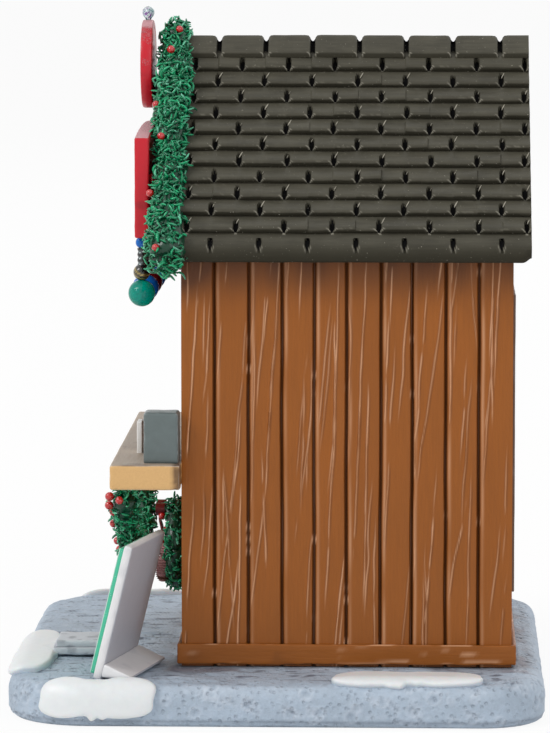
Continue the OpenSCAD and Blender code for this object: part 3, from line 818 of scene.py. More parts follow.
def ridge_cap():
    """The blocks along the ridge, notched at their joints."""
    low, high = box("ridge_cap")
    slope, top, wide = sizes().roof_slope, high[2], high[0] - 0.6
    cos, sin, tan = math.cos(slope), math.sin(slope), math.tan(slope)
    joint, pitch = size("joint_width") / 2, size("shingle_width")
    centres = low[1] + size("joint_first") + pitch * np.arange(-1, 8)
    near = (0.3, 1.0, 1.3, 2.1, 3.0, 3.9, 5.2, 9)
    offsets = [joint * k * turn for k in near for turn in (-1, 1)]
    y = row_places(low[1], high[1], centres, offsets)
    rng = np.random.default_rng(5)
    nearest = np.abs(y[:, None] - centres[None, :]).argmin(1)
    dy = np.abs(y - centres[nearest])
    tilt = rng.normal(0, 0.05, 12)[np.searchsorted(centres, y)]
    q = wide * np.array([0, 0.08, 0.2, 0.38, 0.58, 0.76, 0.88, 0.95, 0.985, 1.0, 0.985])
    drop = np.array([0, 0, 0, 0, 0, 0, 0, 0.03, 0.12, 0.35, 1.2])
    z = top - tan * (np.sqrt(q ** 2 + 0.35 ** 2) - 0.35) - drop
    qq = q[:, None] / wide
    notch = 1.1 * np.clip(1 - dy / 0.95, 0, 1) * (1 - 0.75 * smooth(qq, 0.0, 0.5))
    corner = 0.10 * smooth(1.8 - dy, 0, 1.0) * (1 - smooth(qq, 0.1, 0.5))
    row = np.arange(len(q))[:, None]
    narrow = joint * (1 - 0.5 * (row == 9))
    inside = smooth(narrow * 1.2 - dy, 0, 0.08) * (row < 10)
    slot = 1.1 * inside * (0.25 + 0.75 * smooth(qq, 0, 0.3))
    depth = notch + corner + slot - tilt - 0.03 * along(y, 3, 8, 2)
    wide_x = q[:, None] - depth * sin * smooth(qq, 0.02, 0.25)
    wide_z = z[:, None] - depth * np.where(qq < 0.1, 1, cos)
    # Painted highlights on the edges beside the slots near the cap's lower edge; the lower lip is darkened by
    # wash and painted shade, and the slots are dark joints.
    edge = hump(dy - joint * np.where(row == 8, 2.1, 1.3), 0.12) * (row > 7) * (row < 10)
    light = 0.4 * edge
    dark = np.maximum(inside, np.select([row == 8, row == 9, row == 10], [0.15, 0.8, 0.9], 0.0) + 0 * dy)
    shade = np.clip(0.15 + 0.25 * along(y, 9, 12), 0, 1) + 0 * qq
    marks = np.stack([light, dark * (1 - 0.7 * edge), shade], -1)
    half = np.stack([wide_x, y + 0 * qq, wide_z], -1)
    mirror = half * (-1, 1, 1)
    inner = top - 2.0 - np.array([0.8, 0, 0.8])[:, None] * wide * tan + 0 * y
    base = np.stack([np.array([0.8 * wide, 0, -0.8 * wide])[:, None] + 0 * y, y + 0 * inner, inner], -1)
    loop = np.concatenate([mirror[:0:-1], half, base])
    # The cap's underside is painted dark as shade.
    paint_loop = np.concatenate([marks[:0:-1], marks, np.broadcast_to([0.0, 1.0, 0.0], base.shape)])
    shape = Shape().sweep(loop.transpose(1, 0, 2), paint_loop.transpose(1, 0, 2))
    return shape.make("ridge_blocks", FINISHES["roof"], "roof_paint", "ridge_cap", sharp=38)


# ---------------------------------------------------------------- walls

def boards(name, nodes, start, end, foot, top, seams, place, thick, seed, pitch=0.2, rise=1.4,
           eave=(0.5, 0.5, 0.5)):
    """A wall of upright boards with carved grain. Top gives its height at places along it, and place turns
    (along, up, out) into points. Eave is how strongly the painted shadow of the roof darkens it below the
    eave: at its start, just past it and at its end."""
    rng = np.random.default_rng(seed)
    u = steps(start, end, pitch)
    tall = top(u)
    t = np.linspace(0, 1, int((tall.max() - foot) / rise) + 1)[:, None]
    z = foot + (tall - foot) * t
    uu = u + 0 * z
    width, depth = size("groove_width") / 2, size("groove_depth")
    out = 0.05 * noise(np.stack([uu, z, z * 0], -1), (1.6, 9, 1), seed, 2)
    light, dark, shade = 0 * z, 0 * z, 0 * z
    edges = [start, *seams, end]
    for k in range(len(edges) - 1):
        here = (u >= edges[k]) & (u < edges[k + 1] + 1e-6)
        a, b, zz = edges[k], edges[k + 1], z[:, here]
        wide, mid = b - a, (a + b) / 2
        out[:, here] += rng.normal(0, 0.07) - 0.10 * ((uu[:, here] - mid) / wide * 2) ** 4
        shade[:, here] = rng.uniform(0, 0.7)
        for line in range(int(np.clip(round(wide * 1.1), 1, 8))):
            centre, reach = rng.uniform(foot, tall.max()), rng.uniform(8, 28)
            path = mid + rng.uniform(-0.42, 0.42) * wide + rng.normal(0.055, 0.045) * (zz - centre)
            path = path + 0.32 * along(zz, 8, seed + 90 + 7 * k + line, 2)
            fade = smooth(reach - np.abs(zz - centre), 0, 8)
            fade = fade * smooth(np.minimum(path - a, b - path), 0.35, 0.8)
            fade = fade * smooth(along(zz, 6, seed + 190 + 11 * k + line), -0.85, -0.4)
            d = uu[:, here] - path
            thin = 0.12 + 0.04 * along(zz, 5, seed + 290 + line)
            out[:, here] += size("grain_depth") * fade * (0.45 * hump(d + 0.32, 0.16) - hump(d, thin + 0.06))
            # Each grain line is painted light, as drybrushed grain and the painted highlight on its carved
            # edge, with a thin line of painted shade beside it.
            bright = rng.uniform(0.45, 1.1) * fade * hump(d, thin)
            light[:, here] = np.maximum(light[:, here], bright)
            dark[:, here] = np.maximum(dark[:, here], 0.4 * fade * hump(d - 0.34, 0.16))
    for k, seam in enumerate(seams):
        d = uu - seam - 0.10 * along(z, 13, seed + 400 + k)
        out -= depth * np.exp(-(np.abs(d) / width) ** 4) + 0.16 * hump(d, 0.95)
        dark = np.maximum(dark, 0.88 * np.exp(-(np.abs(d) / (width * 1.15)) ** 4))
        patchy = 0.55 + 0.45 * along(z, 9, seed + 500 + k)
        beads = smooth(along(z, 0.7, seed + 600 + k), 0.62, 0.8)
        beads = beads * smooth(along(z, 12, seed + 700 + k), 0.0, 0.4)
        # A painted highlight on the rounded board edge beside each groove; the beads are flakes of light
        # paint on the groove's edges.
        light = np.maximum(light, 0.46 * patchy * hump(d - 0.85, 0.30))
        light = np.maximum(light, 0.85 * beads * hump(np.abs(d) - width * 1.15, 0.14))
    # Painted shadow of the roof: the wall darkens towards its top below the eave, on the side walls most at
    # the front, and its light marks dim in it.
    shadow = np.interp(uu, [start, start + 9, end], eave) * smooth(z - tall, -18, -7)
    shadow = shadow * (0.85 + 0.25 * along(uu, 3, seed + 800))
    dark = np.maximum(dark, np.clip(shadow, 0, 0.78))
    # Painted shade at the foot of the wall, where it meets the sill.
    dark = np.maximum(dark, 0.45 * smooth(foot + 2.0 - z, 0, 1.8))
    light = light * (1 - 0.4 * shadow)
    shape = Shape()
    front = shape.sheet(place(uu, z, out), np.stack([light, dark, shade], -1))
    t = np.linspace(0, 1, 8)[:, None]
    z = foot + (tall - foot) * t
    uu = u + 0 * z
    lining, gap = 0 * z - thick, 0 * z
    for seam in seams:
        line = np.exp(-(np.abs(uu - seam) / width) ** 4)
        lining, gap = lining + 0.3 * line, np.maximum(gap, line)
    back = shape.add(place(uu, z, lining), np.stack([0 * z, gap * 0.9, 0 * z + 0.5], -1))
    shape.quads(back[:, ::-1])
    shape.quads(np.stack([back[0], front[0]]))
    shape.quads(np.stack([front[-1], back[-1]]))
    shape.face(front[:, 0], back[::-1, 0])
    shape.face(front[::-1, -1], back[:, -1])
    return shape.close().make(name, FINISHES["wood"], "wall_paint", *nodes)


def even_seams(start, end, pitch, seed):
    """Places for grooves about pitch apart, a little uneven."""
    count = max(2, int(round((end - start) / pitch)))
    inner = np.linspace(start, end, count + 1)[1:-1]
    return list(inner + np.random.default_rng(seed).normal(0, 0.25, len(inner)))


def walls():
    """The four walls and the gable over the counter."""
    low, high = box("wall_right")
    front, back, out = low[1], high[1], high[0]
    thick, board = out - low[0], 7.4
    shares = (0.100, 0.203, 0.304, 0.401, 0.498, 0.602, 0.696, 0.798, 0.898)
    seams = [front + (back - front) * share for share in shares]
    side_top = lambda u: 0 * u + high[2] - 0.3
    for side, node, seed in ((1, "wall_right", 3), (-1, "wall_left", 19)):
        place = lambda u, z, d, s=side: np.stack([s * (out + d), u + 0 * z, z], -1)
        boards(node.replace("wall", "boards"), [node], front, back, low[2], side_top, seams, place, thick,
               seed, 0.15 if side > 0 else 0.28, 1.3, (1.5, 0.75, 0.65))
    tan, (_, peak) = math.tan(sizes().roof_slope), box("wall_back")
    gable_top = lambda u: peak[2] - 0.3 - np.abs(u) * tan
    for name, node, y, turn, seed in (("boards_back", "wall_back", back, 1, 31),
                                      ("boards_gable", "front_gable", front, -1, 43)):
        a, b = box(node)
        place = lambda u, z, d, y=y, t=turn: np.stack([u + 0 * z, y + t * d, z], -1)
        boards(name, [node], a[0], b[0], a[2], gable_top, even_seams(a[0], b[0], board, seed), place, thick,
               seed, 0.32, 1.6)
    a, b = box("front_lower_wall")
    place = lambda u, z, d: np.stack([u + 0 * z, front - d, z], -1)
    boards("boards_front", ["front_lower_wall"], a[0], b[0], a[2], lambda u: 0 * u + b[2],
           even_seams(a[0], b[0], board, 57), place, thick, 57, 0.26)
    for node, seed in (("front_post_right", 61), ("front_post_left", 67)):
        a, b = box(node)
        name, post_top = node.replace("front_post", "post"), lambda u: 0 * u + b[2]
        boards(name, [node], a[0], b[0], a[2], post_top, [], place, thick, seed, 0.22)


def worn_wood(seed, grain):
    """How carved wood moves and is painted: fine relief, light edges and streaks, dark in patches."""
    def carve(points, out, near):
        move = 0.10 * noise(points, grain, seed, 3) - 0.05
        light = 0.5 * smooth(near, 0.3, 1.0) * smooth(noise(points, 1.4, seed + 1), -0.1, 0.5)
        light = light + 0.5 * smooth(noise(points, np.array(grain) * 0.5, seed + 2), 0.35, 0.6)
        return move, np.stack([light, 0.2 * smooth(noise(points, 3, seed + 3), 0.2, 0.7), 0 * near + 0.3], -1)
    return carve


def sills():
    """The boards round the foot of the hut, a little raised and uneven along their undersides."""
    for node, grain, seed in (("sill_right", (2, 9, 0.9), 71), ("sill_left", (2, 9, 0.9), 73),
                              ("sill_front", (9, 2, 0.9), 75), ("sill_back", (9, 2, 0.9), 77)):
        low, high = box(node)
        carve = worn_wood(seed, grain)

        def lift(points, low=low, seed=seed):
            raised = 0.45 + 0.28 * noise(points * (1, 1, 0), 4, seed + 5, 2)
            points[:, 2] += raised * smooth(low[2] + 1.4 - points[:, 2], 0, 1.2)
            return points

        shape = Shape()
        block(shape, low, high - (0, 0, 0.5), 0.35, 0.8, carve, lift)
        shape.make("board_" + node, FINISHES["wood_flat"], "wall_paint", node)


def back_panel():
    """The thin panel on the back wall."""
    low, high = box("back_panel")
    shape = Shape()
    block(shape, low, high, 0.25, 1.2, worn_wood(81, (1.0, 2, 9)))
    return shape.make("panel_back", FINISHES["panel"], "panel_paint", "back_panel")


# ---------------------------------------------------------------- plinth and snow

class Base:
    """The plinth's outline and the profile of its edge, as places on its surface."""

    def __init__(self):
        self.low, self.high = box("plinth")
        self.front_r, self.back_r, self.top_r, self.foot_r = 18.0, 14.0, 4.0, 1.8
        x, y0, y1, a, b = self.high[0], self.low[1], self.high[1], self.front_r, self.back_r
        corners = [((x - a, y0 + a), a, -90), ((x - b, y1 - b), b, 0), ((b - x, y1 - b), b, 90),
                   ((a - x, y0 + a), a, 180)]
        points, normals = [(0.0, y0)], [(0.0, -1.0)]
        for (cx, cy), r, turn in corners:
            for k in range(25):
                angle = math.radians(turn + 90 * k / 24)
                normals.append((math.cos(angle), math.sin(angle)))
                points.append((cx + r * math.cos(angle), cy + r * math.sin(angle)))
        points.append((0.0, y0))
        normals.append((0.0, -1.0))
        self.points, self.normals = np.array(points), np.array(normals)
        self.far = np.concatenate([[0], np.cumsum(np.linalg.norm(np.diff(self.points, axis=0), axis=1))])

    def rim(self, s):
        """Point and outward direction at a distance round the outline, from the middle of its front."""
        s = np.mod(s, self.far[-1])
        line = lambda table: np.stack([np.interp(s, self.far, table[:, k]) for k in range(2)], -1)
        return line(self.points), unit(line(self.normals))

    def surface(self, s, w):
        """Point and outward direction: w runs in over the top, and negative w over the edge and down."""
        point, side = self.rim(s)
        angle = np.clip(-w / self.top_r, 0, math.pi / 2)
        inset = np.where(w > 0, self.top_r + w, self.top_r * (1 - np.sin(angle)))
        drop = self.top_r * (1 - np.cos(angle)) + np.maximum(-w - self.top_r * math.pi / 2, 0)
        place = np.concatenate([point - side * inset[..., None], (self.high[2] - drop)[..., None]], -1)
        up = np.concatenate([side * np.sin(angle)[..., None], np.cos(angle)[..., None]], -1)
        return place, up


def plinth(base):
    """The carved stone-look plinth, with its ridged top and pitted sides."""
    high = base.high
    s = steps(0, base.far[-1], 0.5)[:-1]
    rim, side = base.rim(s)
    hut_low, hut = box("wall_right")
    half_x, front, back = hut_low[0] - 0.5, hut_low[1] + 1.5, hut[1] - 1.5
    centre = np.array([0, (front + back) / 2])
    ray = rim - centre
    reach = np.minimum(half_x / np.maximum(np.abs(ray[:, 0]), 1e-6),
                       (back - front) / 2 / np.maximum(np.abs(ray[:, 1]), 1e-6))
    inner = centre + ray * reach[:, None]
    rows, ups = [], []
    foot, top = base.foot_r, base.top_r
    for k in range(5):
        angle = math.pi / 2 * k / 4
        rows.append((foot * (1 - math.sin(angle)), foot * (1 - math.cos(angle))))
        ups.append((math.sin(angle), -math.cos(angle)))
    for z in steps(foot, high[2] - top, 0.42)[1:-1]:
        rows.append((0, z))
        ups.append((1, 0))
    for k in range(9):
        angle = math.pi / 2 * k / 8
        rows.append((top * (1 - math.cos(angle)), high[2] - top * (1 - math.sin(angle))))
        ups.append((math.cos(angle), math.sin(angle)))
    place, up = [], []
    for (inset, z), (outward, upward) in zip(rows, ups):
        place.append(np.column_stack([rim - side * inset, np.full(len(s), z)]))
        up.append(np.column_stack([side * outward, np.full(len(s), upward)]))
    edge = rim - side * top
    for share in np.linspace(0, 1, 43)[1:]:
        place.append(np.column_stack([edge + (inner - edge) * share, np.full(len(s), high[2])]))
        up.append(np.column_stack([0 * rim, np.ones(len(s))]))
    place, up = np.array(place), np.array(up)

    flat = smooth(up[..., 2], 0.75, 1.0)
    lump = lambda scale, seed, octaves=1: 0.5 + 0.5 * noise(place, scale, seed, octaves)
    bulge = 0.55 * lump((13, 13, 9), 1) + 0.32 * lump(4.2, 2, 2) + 0.14 * lump(1.5, 3)
    ridge = 0.5 * lump((2.2, 7, 9), 4, 2) + 0.25 * lump((1.1, 3.5, 9), 5) + 0.3 * lump((9, 9, 9), 6)
    sill_x, sill_y = 41.5, 36.2
    off = np.maximum(np.abs(place[..., 0]) - sill_x, np.abs(place[..., 1] - centre[1]) - sill_y)
    near = smooth(5.0 - off, 0, 4.5) * flat
    down = (1 - flat) * bulge * 0.6 + flat * ridge * (0.35 + 0.65 * smooth(off, 0.2, 2.5)) * 1.15
    rng = np.random.default_rng(9)
    pit, ring = 0 * down, 0 * down
    pits = 210
    pit_s, pit_w = rng.uniform(0, base.far[-1], pits), rng.uniform(-13.5, 1, pits)
    spots, _ = base.surface(pit_s, pit_w)
    for spot, radius in zip(spots, rng.uniform(0.35, 0.95, pits)):
        close = (np.abs(place[..., 0] - spot[0]) < 3) & (np.abs(place[..., 1] - spot[1]) < 3)
        d = np.linalg.norm(place[close] - spot, axis=-1)
        pit[close] = np.maximum(pit[close], hump(d, radius) * min(radius, 1))
        ring[close] = np.maximum(ring[close], hump(d - radius * 1.5, 0.28))
    nick, nick_edge = 0 * down, 0 * down
    for k in range(90):
        spot, face_up = base.surface(rng.uniform(0, base.far[-1], 1), rng.uniform(-12, 9, 1))
        lean = unit(np.cross(face_up[0], [0, 0, 1]) * 1.0 + np.array([0, 0, 1]) * rng.uniform(0.3, 1.2)
                    + np.array([rng.normal(), rng.normal(), 0]) * 0.5 * face_up[0][2])
        close = np.linalg.norm(place - spot[0], axis=-1) < 3.5
        d = place[close] - spot[0]
        run = np.clip(d @ lean, -1.6, 1.6)
        gap = np.linalg.norm(d - run[:, None] * lean, axis=-1)
        nick[close] = np.maximum(nick[close], hump(gap, 0.35))
        nick_edge[close] = np.maximum(nick_edge[close], hump(gap - 0.55, 0.25))
    line = hump(place[..., 2] - 0.95, 0.28) * (up[..., 2] > -0.99)
    down = down + size("pit_depth") * pit + 0.3 * nick + 0.28 * line - 0.14 * ring * (1 - flat)
    down = np.maximum(down, 0)
    down[0] = 0
    # The light rims of the pits on the sides are painted highlights, as on small bubbles; the rest is
    # drybrushed light on raised stone, light nick edges and light patches.
    light = (0.55 * smooth(0.42 - down, 0, 0.35) * smooth(up[..., 2], 0.0, 0.7) + 0.6 * ring * (1 - flat)
             + 0.5 * nick_edge + 0.35 * smooth(noise(place, 1.3, 15), 0.3, 0.7))
    crack = smooth(noise(place, (1.0, 3.6, 5), 16, 2), 0.3, 0.55) * flat
    # The dark band along the sills' outline on the top is painted shade where the sills meet the plinth; the
    # rest darkens the pits, nicks, the base groove, the cracks and the deep hollows.
    dark = np.maximum.reduce([0.22 * pit, 0.3 * nick, 0.6 * line, 0.85 * crack,
                              0.5 * smooth(down, 0.75, 1.2) * flat, 0.8 * hump(off - 0.2, 0.7) * flat])
    plum = 0.5 + 0.5 * near * smooth(noise(place, 5, 17, 2), -0.5, 0.4)
    points = place - up * down[..., None]
    shape = Shape()
    number = shape.sheet(points, np.stack([light * 0.8, dark, plum], -1), wrap_columns=True)
    shape.face(number[0][::-1])
    shape.face(number[-1])
    return shape.close().make("stone_plinth", FINISHES["stone"], "plinth_stone", "plinth", sharp=60)


def stone_pad():
    """The square pad, a slab on a slightly wider one."""
    low, high = box("stone_pad")
    split = (low[2] + high[2]) / 2

    def carve(points, out, near):
        move = 0.16 * noise(points, 2.2, 91, 3) - 0.06
        light = 0.8 * smooth(near, 0.2, 0.9) * smooth(noise(points, 1.2, 92), -0.3, 0.5)
        dark = 0.7 * smooth(noise(points, 1.8, 93), 0.35, 0.7) + 0.7 * hump(points[:, 2] - split, 0.16)
        return move, np.stack([light, dark, 0 * near + 0.5], -1)

    shape = Shape()
    block(shape, low - (0, 0, 0.3), (high[0], high[1], split + 0.05), 0.5, 0.5, carve)
    block(shape, (low[0] + 0.6, low[1] + 0.6, split - 0.3), high - (0.6, 0.6, 0), 0.5, 0.5, carve)
    return shape.make("pad_slab", FINISHES["pad"], "pad_stone", "stone_pad")


def snow_patch(base, name, node, patches, seed):
    """Smooth puddles of snow on the plinth: middle, reach and height of each, along and across its edge."""
    shape = Shape()
    count = 132
    angle = np.arange(count) * 2 * math.pi / count
    share = np.array([0.12, 0.25, 0.38, 0.5, 0.61, 0.71, 0.79, 0.86, 0.91, 0.95, 0.98, 1.0, 1.0, 0.985])
    rise = np.array([1, 1, 1, 1, 0.99, 0.97, 0.95, 0.91, 0.85, 0.76, 0.62, 0.36, 0.0, -0.5])
    for s, w, reach_s, reach_w, tall in patches:
        power = 3.2
        outline = np.abs(np.cos(angle) / reach_s) ** power + np.abs(np.sin(angle) / reach_w) ** power
        outline = outline ** (-1 / power)
        turn = np.stack([np.cos(angle) * 1.7, np.sin(angle) * 1.7, angle * 0 + s], -1)
        wavy = 0.35 + 0.65 * smooth(-np.sin(angle), -0.3, 0.3)
        wavy = wavy * (0.2 * noise(turn, 1.0, seed + 4) + 0.14 * noise(turn, 0.45, seed + 1))
        outline = outline * (1 + wavy)
        along_s = s + share[:, None] * outline * np.cos(angle)
        across = w + share[:, None] * outline * np.sin(angle)
        spot, up = base.surface(along_s, across)
        high = tall * (rise[:, None] + 0.10 * noise(spot, 4.5, seed + 2) * smooth(rise, 0.3, 0.9)[:, None])
        high = high * (1 - 0.6 * smooth(share[:, None] * np.sin(angle), 0.45, 0.95))
        high[-1] = -1.6
        spot = spot + up * high[..., None]
        # The foot of each patch's edge is darkened towards the stone colour as painted shade along the snow's
        # edge.
        dark = np.array([0.0] * 10 + [0.05, 0.35, 1.0, 1.0])[:, None] + 0 * angle
        marks = np.stack([0 * dark, dark, 0 * dark + 0.5], -1)
        number = shape.sheet(spot, marks, wrap_columns=True)
        middle, middle_up = base.surface(np.array([s]), np.array([w]))
        tip = shape.add(np.concatenate([middle + middle_up * tall, middle - middle_up * 1.6]))
        shape.fans(number, tip)
        shape.close()
    return shape.make(name, FINISHES["snow"], "snow_paint", node, sharp=75)


def snow(base):
    """All the snow patches; the two sides match."""
    edge = [(74.3, -5.5, 13.4, 4.6, 1.25)]
    sill = [(139.0, 2.0, 15.0, 4.3, 1.1)]
    mirror = lambda patches: [(-s, *rest) for s, *rest in patches]
    snow_patch(base, "snow_puddle_front", "snow_front", [(23.0, -0.5, 24.0, 5.6, 1.2)], 101)
    snow_patch(base, "snow_puddle_right_edge", "snow_right_edge", edge, 103)
    snow_patch(base, "snow_puddle_left_edge", "snow_left_edge", mirror(edge), 105)
    snow_patch(base, "snow_puddle_right_sill", "snow_right_sill", sill, 107)
    snow_patch(base, "snow_puddle_left_sill", "snow_left_sill", mirror(sill), 109)


# ---------------------------------------------------------------- counter and what stands on it

def counter():
    """The counter shelf and its inner tongue, with a worn top and chipped edges by the wall."""
    low, high = box("counter")
    wall = box("wall_right")[0][1]
    inner = box("front_post_right")[0][0]

    def carve(points, out, near):
        chip = smooth(noise(points, (3, 3, 1.3), 111, 2), -0.6, 0.0)
        chip = chip * smooth(points[:, 1], wall - 1.9, wall - 1.1)
        move = 0.07 * noise(points, (9, 2, 1.2), 112, 3) - 0.12 * chip + 0.1
        light = 0.9 * smooth(near, 0.25, 0.9) * smooth(noise(points, 1.5, 113), -0.5, 0.3)
        smudge = 0.55 * smooth(noise(points, 3.5, 114, 2), 0.15, 0.6) * (out[:, 2] > 0.5)
        dark = np.maximum(smudge, chip)
        top = smooth(out[:, 2], 0.4, 0.9)
        return move, np.stack([light, dark, top], -1)

    shape = Shape()
    block(shape, low - (0, 0.3, 0), (high[0], wall, high[2] + 0.2), 0.4, 0.6, carve)
    block(shape, (-inner, wall - 0.4, low[2]), (inner, high[1], high[2]), 0.5, 1.0, carve)
    return shape.make("counter_shelf", FINISHES["counter"], "counter_paint", "counter")


def counter_goods():
    """The cash box and the price card."""
    low, high = box("cash_box")

    def carve(points, out, near):
        move = 0.10 * noise(points, 1.6, 121, 2)
        light = 0.3 * smooth(near, 0.3, 0.8) * smooth(noise(points, 1.0, 122), 0.0, 0.5)
        # Painted shade: darker towards the bottom, where the box sits on the counter.
        dark = 0.6 * smooth(low[2] + 0.9 - points[:, 2], 0, 0.7)
        return move, np.stack([light, dark, 0 * near + 0.5], -1)

    shape = Shape()
    block(shape, low, high + (0, 0, 0.6), 0.7, 0.35, carve)
    shape.make("cash_tin", FINISHES["cash"], "cash_grey", "cash_box")
    low, high = box("price_card")

    def ruled(points, out, near):
        rule = hump(points[:, 0] - low[0] - 0.55, 0.12) + hump(high[0] - 0.55 - points[:, 0], 0.12)
        rule = np.clip(rule + hump(points[:, 2] - high[2] + 0.6, 0.12), 0, 1) * (np.abs(out[:, 1]) > 0.8)
        return 0.03 * noise(points, 1.5, 123), np.stack([0 * near, 0.5 * rule, 0 * near + 0.5], -1)

    shape = Shape()
    block(shape, low, high, 0.2, 0.25, ruled)
    shape.make("card_stand", FINISHES["card"], "card_white", "price_card")


# ---------------------------------------------------------------- signs

def frosting(points, out, near, top, seed):
    """Frost on whatever faces up, thinning downward from the top edge, and wear on the edges."""
    patch = noise(points, 2.4, seed, 2)
    frost = 0.35 * smooth(points[:, 2] - top, -1.6, -0.2) * smooth(patch, -0.5, 0.4)
    frost = frost + 0.8 * smooth(out[:, 2], 0.7, 0.97)
    dark = 0.5 * smooth(noise(points, 1.6, seed + 1), 0.3, 0.7)
    return 0.06 * noise(points, 1.8, seed + 2, 2), np.stack([np.clip(frost, 0, 1), dark, 0 * near + 0.5], -1)


def signs():
    """The long sign with its arched top, the round sign above it and the black blocks that carry them."""
    low, high = box("name_board")
    rise, border = 1.6, 1.8
    straight = high[2] - rise - 1.1
    arc = (high[0] ** 2 + rise ** 2) / (2 * rise)

    def arch(points):
        share = (points[:, 2] - low[2]) / (straight - low[2])
        lift = np.sqrt(arc ** 2 - points[:, 0] ** 2) - (arc - rise)
        points[:, 2] += share * lift
        return points

    def carve(points, out, near):
        lift = np.sqrt(arc ** 2 - points[:, 0] ** 2) - (arc - rise)
        panel = (np.abs(out[:, 1]) > 0.9) * smooth(high[0] - border - np.abs(points[:, 0]), 0, 0.3)
        panel = panel * smooth(straight - border - points[:, 2], 0, 0.3)
        panel = panel * smooth(points[:, 2] - low[2] - border, 0, 0.3)
        raised = points + np.stack([0 * lift, 0 * lift, lift], -1)
        move, marks = frosting(raised, out, near, straight + lift, 131)
        marks[:, 1] = np.maximum(marks[:, 1], 0.9 * panel * (1 - panel) * 4)
        return move - 0.3 * panel, marks

    shape = Shape()
    block(shape, low, (high[0], high[1] + 0.6, straight), 0.45, 0.55, carve, arch)
    shape.make("long_sign", FINISHES["sign"], "sign_red", "name_board")

    low, high = box("round_sign")
    middle, radius = (low + high) / 2, high[0]
    deep = (high[1] - low[1]) / 2
    groove = radius - 1.6
    profile = [(0, deep)] + [(r, deep) for r in steps(0.8, groove - 0.5, 0.8)]
    profile += [(groove, deep - 0.25), (groove + 0.4, deep), (radius - 0.45, deep),
                (radius - 0.12, deep - 0.14), (radius, deep - 0.5)]
    profile = profile + [(r, -d) for r, d in profile[::-1]]

    def mark(points):
        flat = points.reshape(-1, 3)
        ring = np.linalg.norm((flat - middle)[:, [0, 2]], axis=1)
        out = unit(flat - middle) * (ring > radius - 0.3)[:, None]
        top = middle[2] + 0.93 * np.sqrt(np.maximum(radius ** 2 - (flat[:, 0] - middle[0]) ** 2, 0))
        marks = frosting(flat, out, flat[:, 0], top, 137)[1]
        marks[:, 1] = np.maximum(marks[:, 1], 0.8 * hump(ring - groove, 0.3))
        return marks.reshape(points.shape)

    shape = Shape()
    lathe(shape, profile, middle, "Y", 96, mark)
    shape.make("disc_sign", FINISHES["sign"], "sign_red", "round_sign")

    def rough(points, out, near):
        light = 0.1 * smooth(near, 0.3, 0.9) * smooth(noise(points, 1.2, 142), 0, 0.5)
        return 0.05 * noise(points, 2, 141, 2), np.stack([light, 0 * near, 0 * near + 0.5], -1)

    for node in ("name_board_bracket", "round_sign_bracket"):
        low, high = box(node)
        shape = Shape()
        block(shape, low, high + (0, 0.3, 0), 0.4, 0.6, rough)
        shape.make(node.replace("bracket", "block"), FINISHES["black"], "bracket_black", node)

    low, high = box("sign_finial")
    middle, tall, wide = (low + high) / 2, high[2] - low[2], high[0]
    profile = [(0, 0), (0.5, 0.05), (0.62, 0.3), (0.8, 0.6), (1.12, 1.0), (1.32, 1.5), (1.34, 2.0),
               (1.18, 2.5), (0.85, 2.88), (0.45, 3.12), (0, 3.2)]
    profile = [(r * wide / 1.35, z * tall / 3.2) for r, z in profile]
    shape = Shape()
    lathe(shape, profile, middle - (0, 0, tall / 2), "Z", 28, lambda p: np.stack(
        [smooth(p[..., 2] - high[2], -1.2, 0), 0 * p[..., 2], 0 * p[..., 2] + 0.5], -1))
    shape.make("finial_bulb", FINISHES["finial"], "glass_bulb", "sign_finial")


def ornaments():
    """The hanging ornaments: blue bulb, striped neck, black ball and a larger glass ball."""
    kinds = {"outer_right": "glass_green", "inner_right": "glass_blue", "middle": "glass_red",
             "inner_left": "glass_blue", "outer_left": "glass_green"}
    for place, kind in kinds.items():
        node = "ornament_" + place
        low, high = box(node)
        middle = (low + high) / 2
        at = lambda up: np.array([middle[0], middle[1], high[2] - up])
        shape = Shape()
        lathe(shape, ball(2.9, 26), at(high[2] - low[2] - 2.9), "Z", 36)
        shape.make("glass_ball_" + place, FINISHES[kind], "ornament_glass", node)
        shape = Shape()
        lathe(shape, ball(1.3, 16), at(1.3), "Z", 24)
        shape.make("bulb_" + place, FINISHES["glass_blue"], "ornament_glass")
        shape = Shape()
        beads = [(0.72 + 0.22 * abs(math.sin(z * 2.6)), z) for z in steps(0.02, 4.4, 0.14)]
        lathe(shape, [(0, 0), *beads, (0, 4.42)], at(6.9), "Z", 20, lambda p: np.stack(
            [0 * p[..., 2], 0 * p[..., 2], smooth(np.sin((p[..., 2] - high[2]) * 5.2), -0.1, 0.1)], -1))
        across = unit(np.array([0.5, 0.35, 0.8]))
        lathe(shape, ball(1.8, 18), at(7.7), "Z", 28, lambda p: np.stack(
            [hump(np.abs((p - at(7.7)) @ across) - 0.5, 0.14), 0 * p[..., 2], 0 * p[..., 2]], -1))
        shape.make("neck_" + place, FINISHES["neck"], "ornament_glass")


# ---------------------------------------------------------------- garlands and wreath

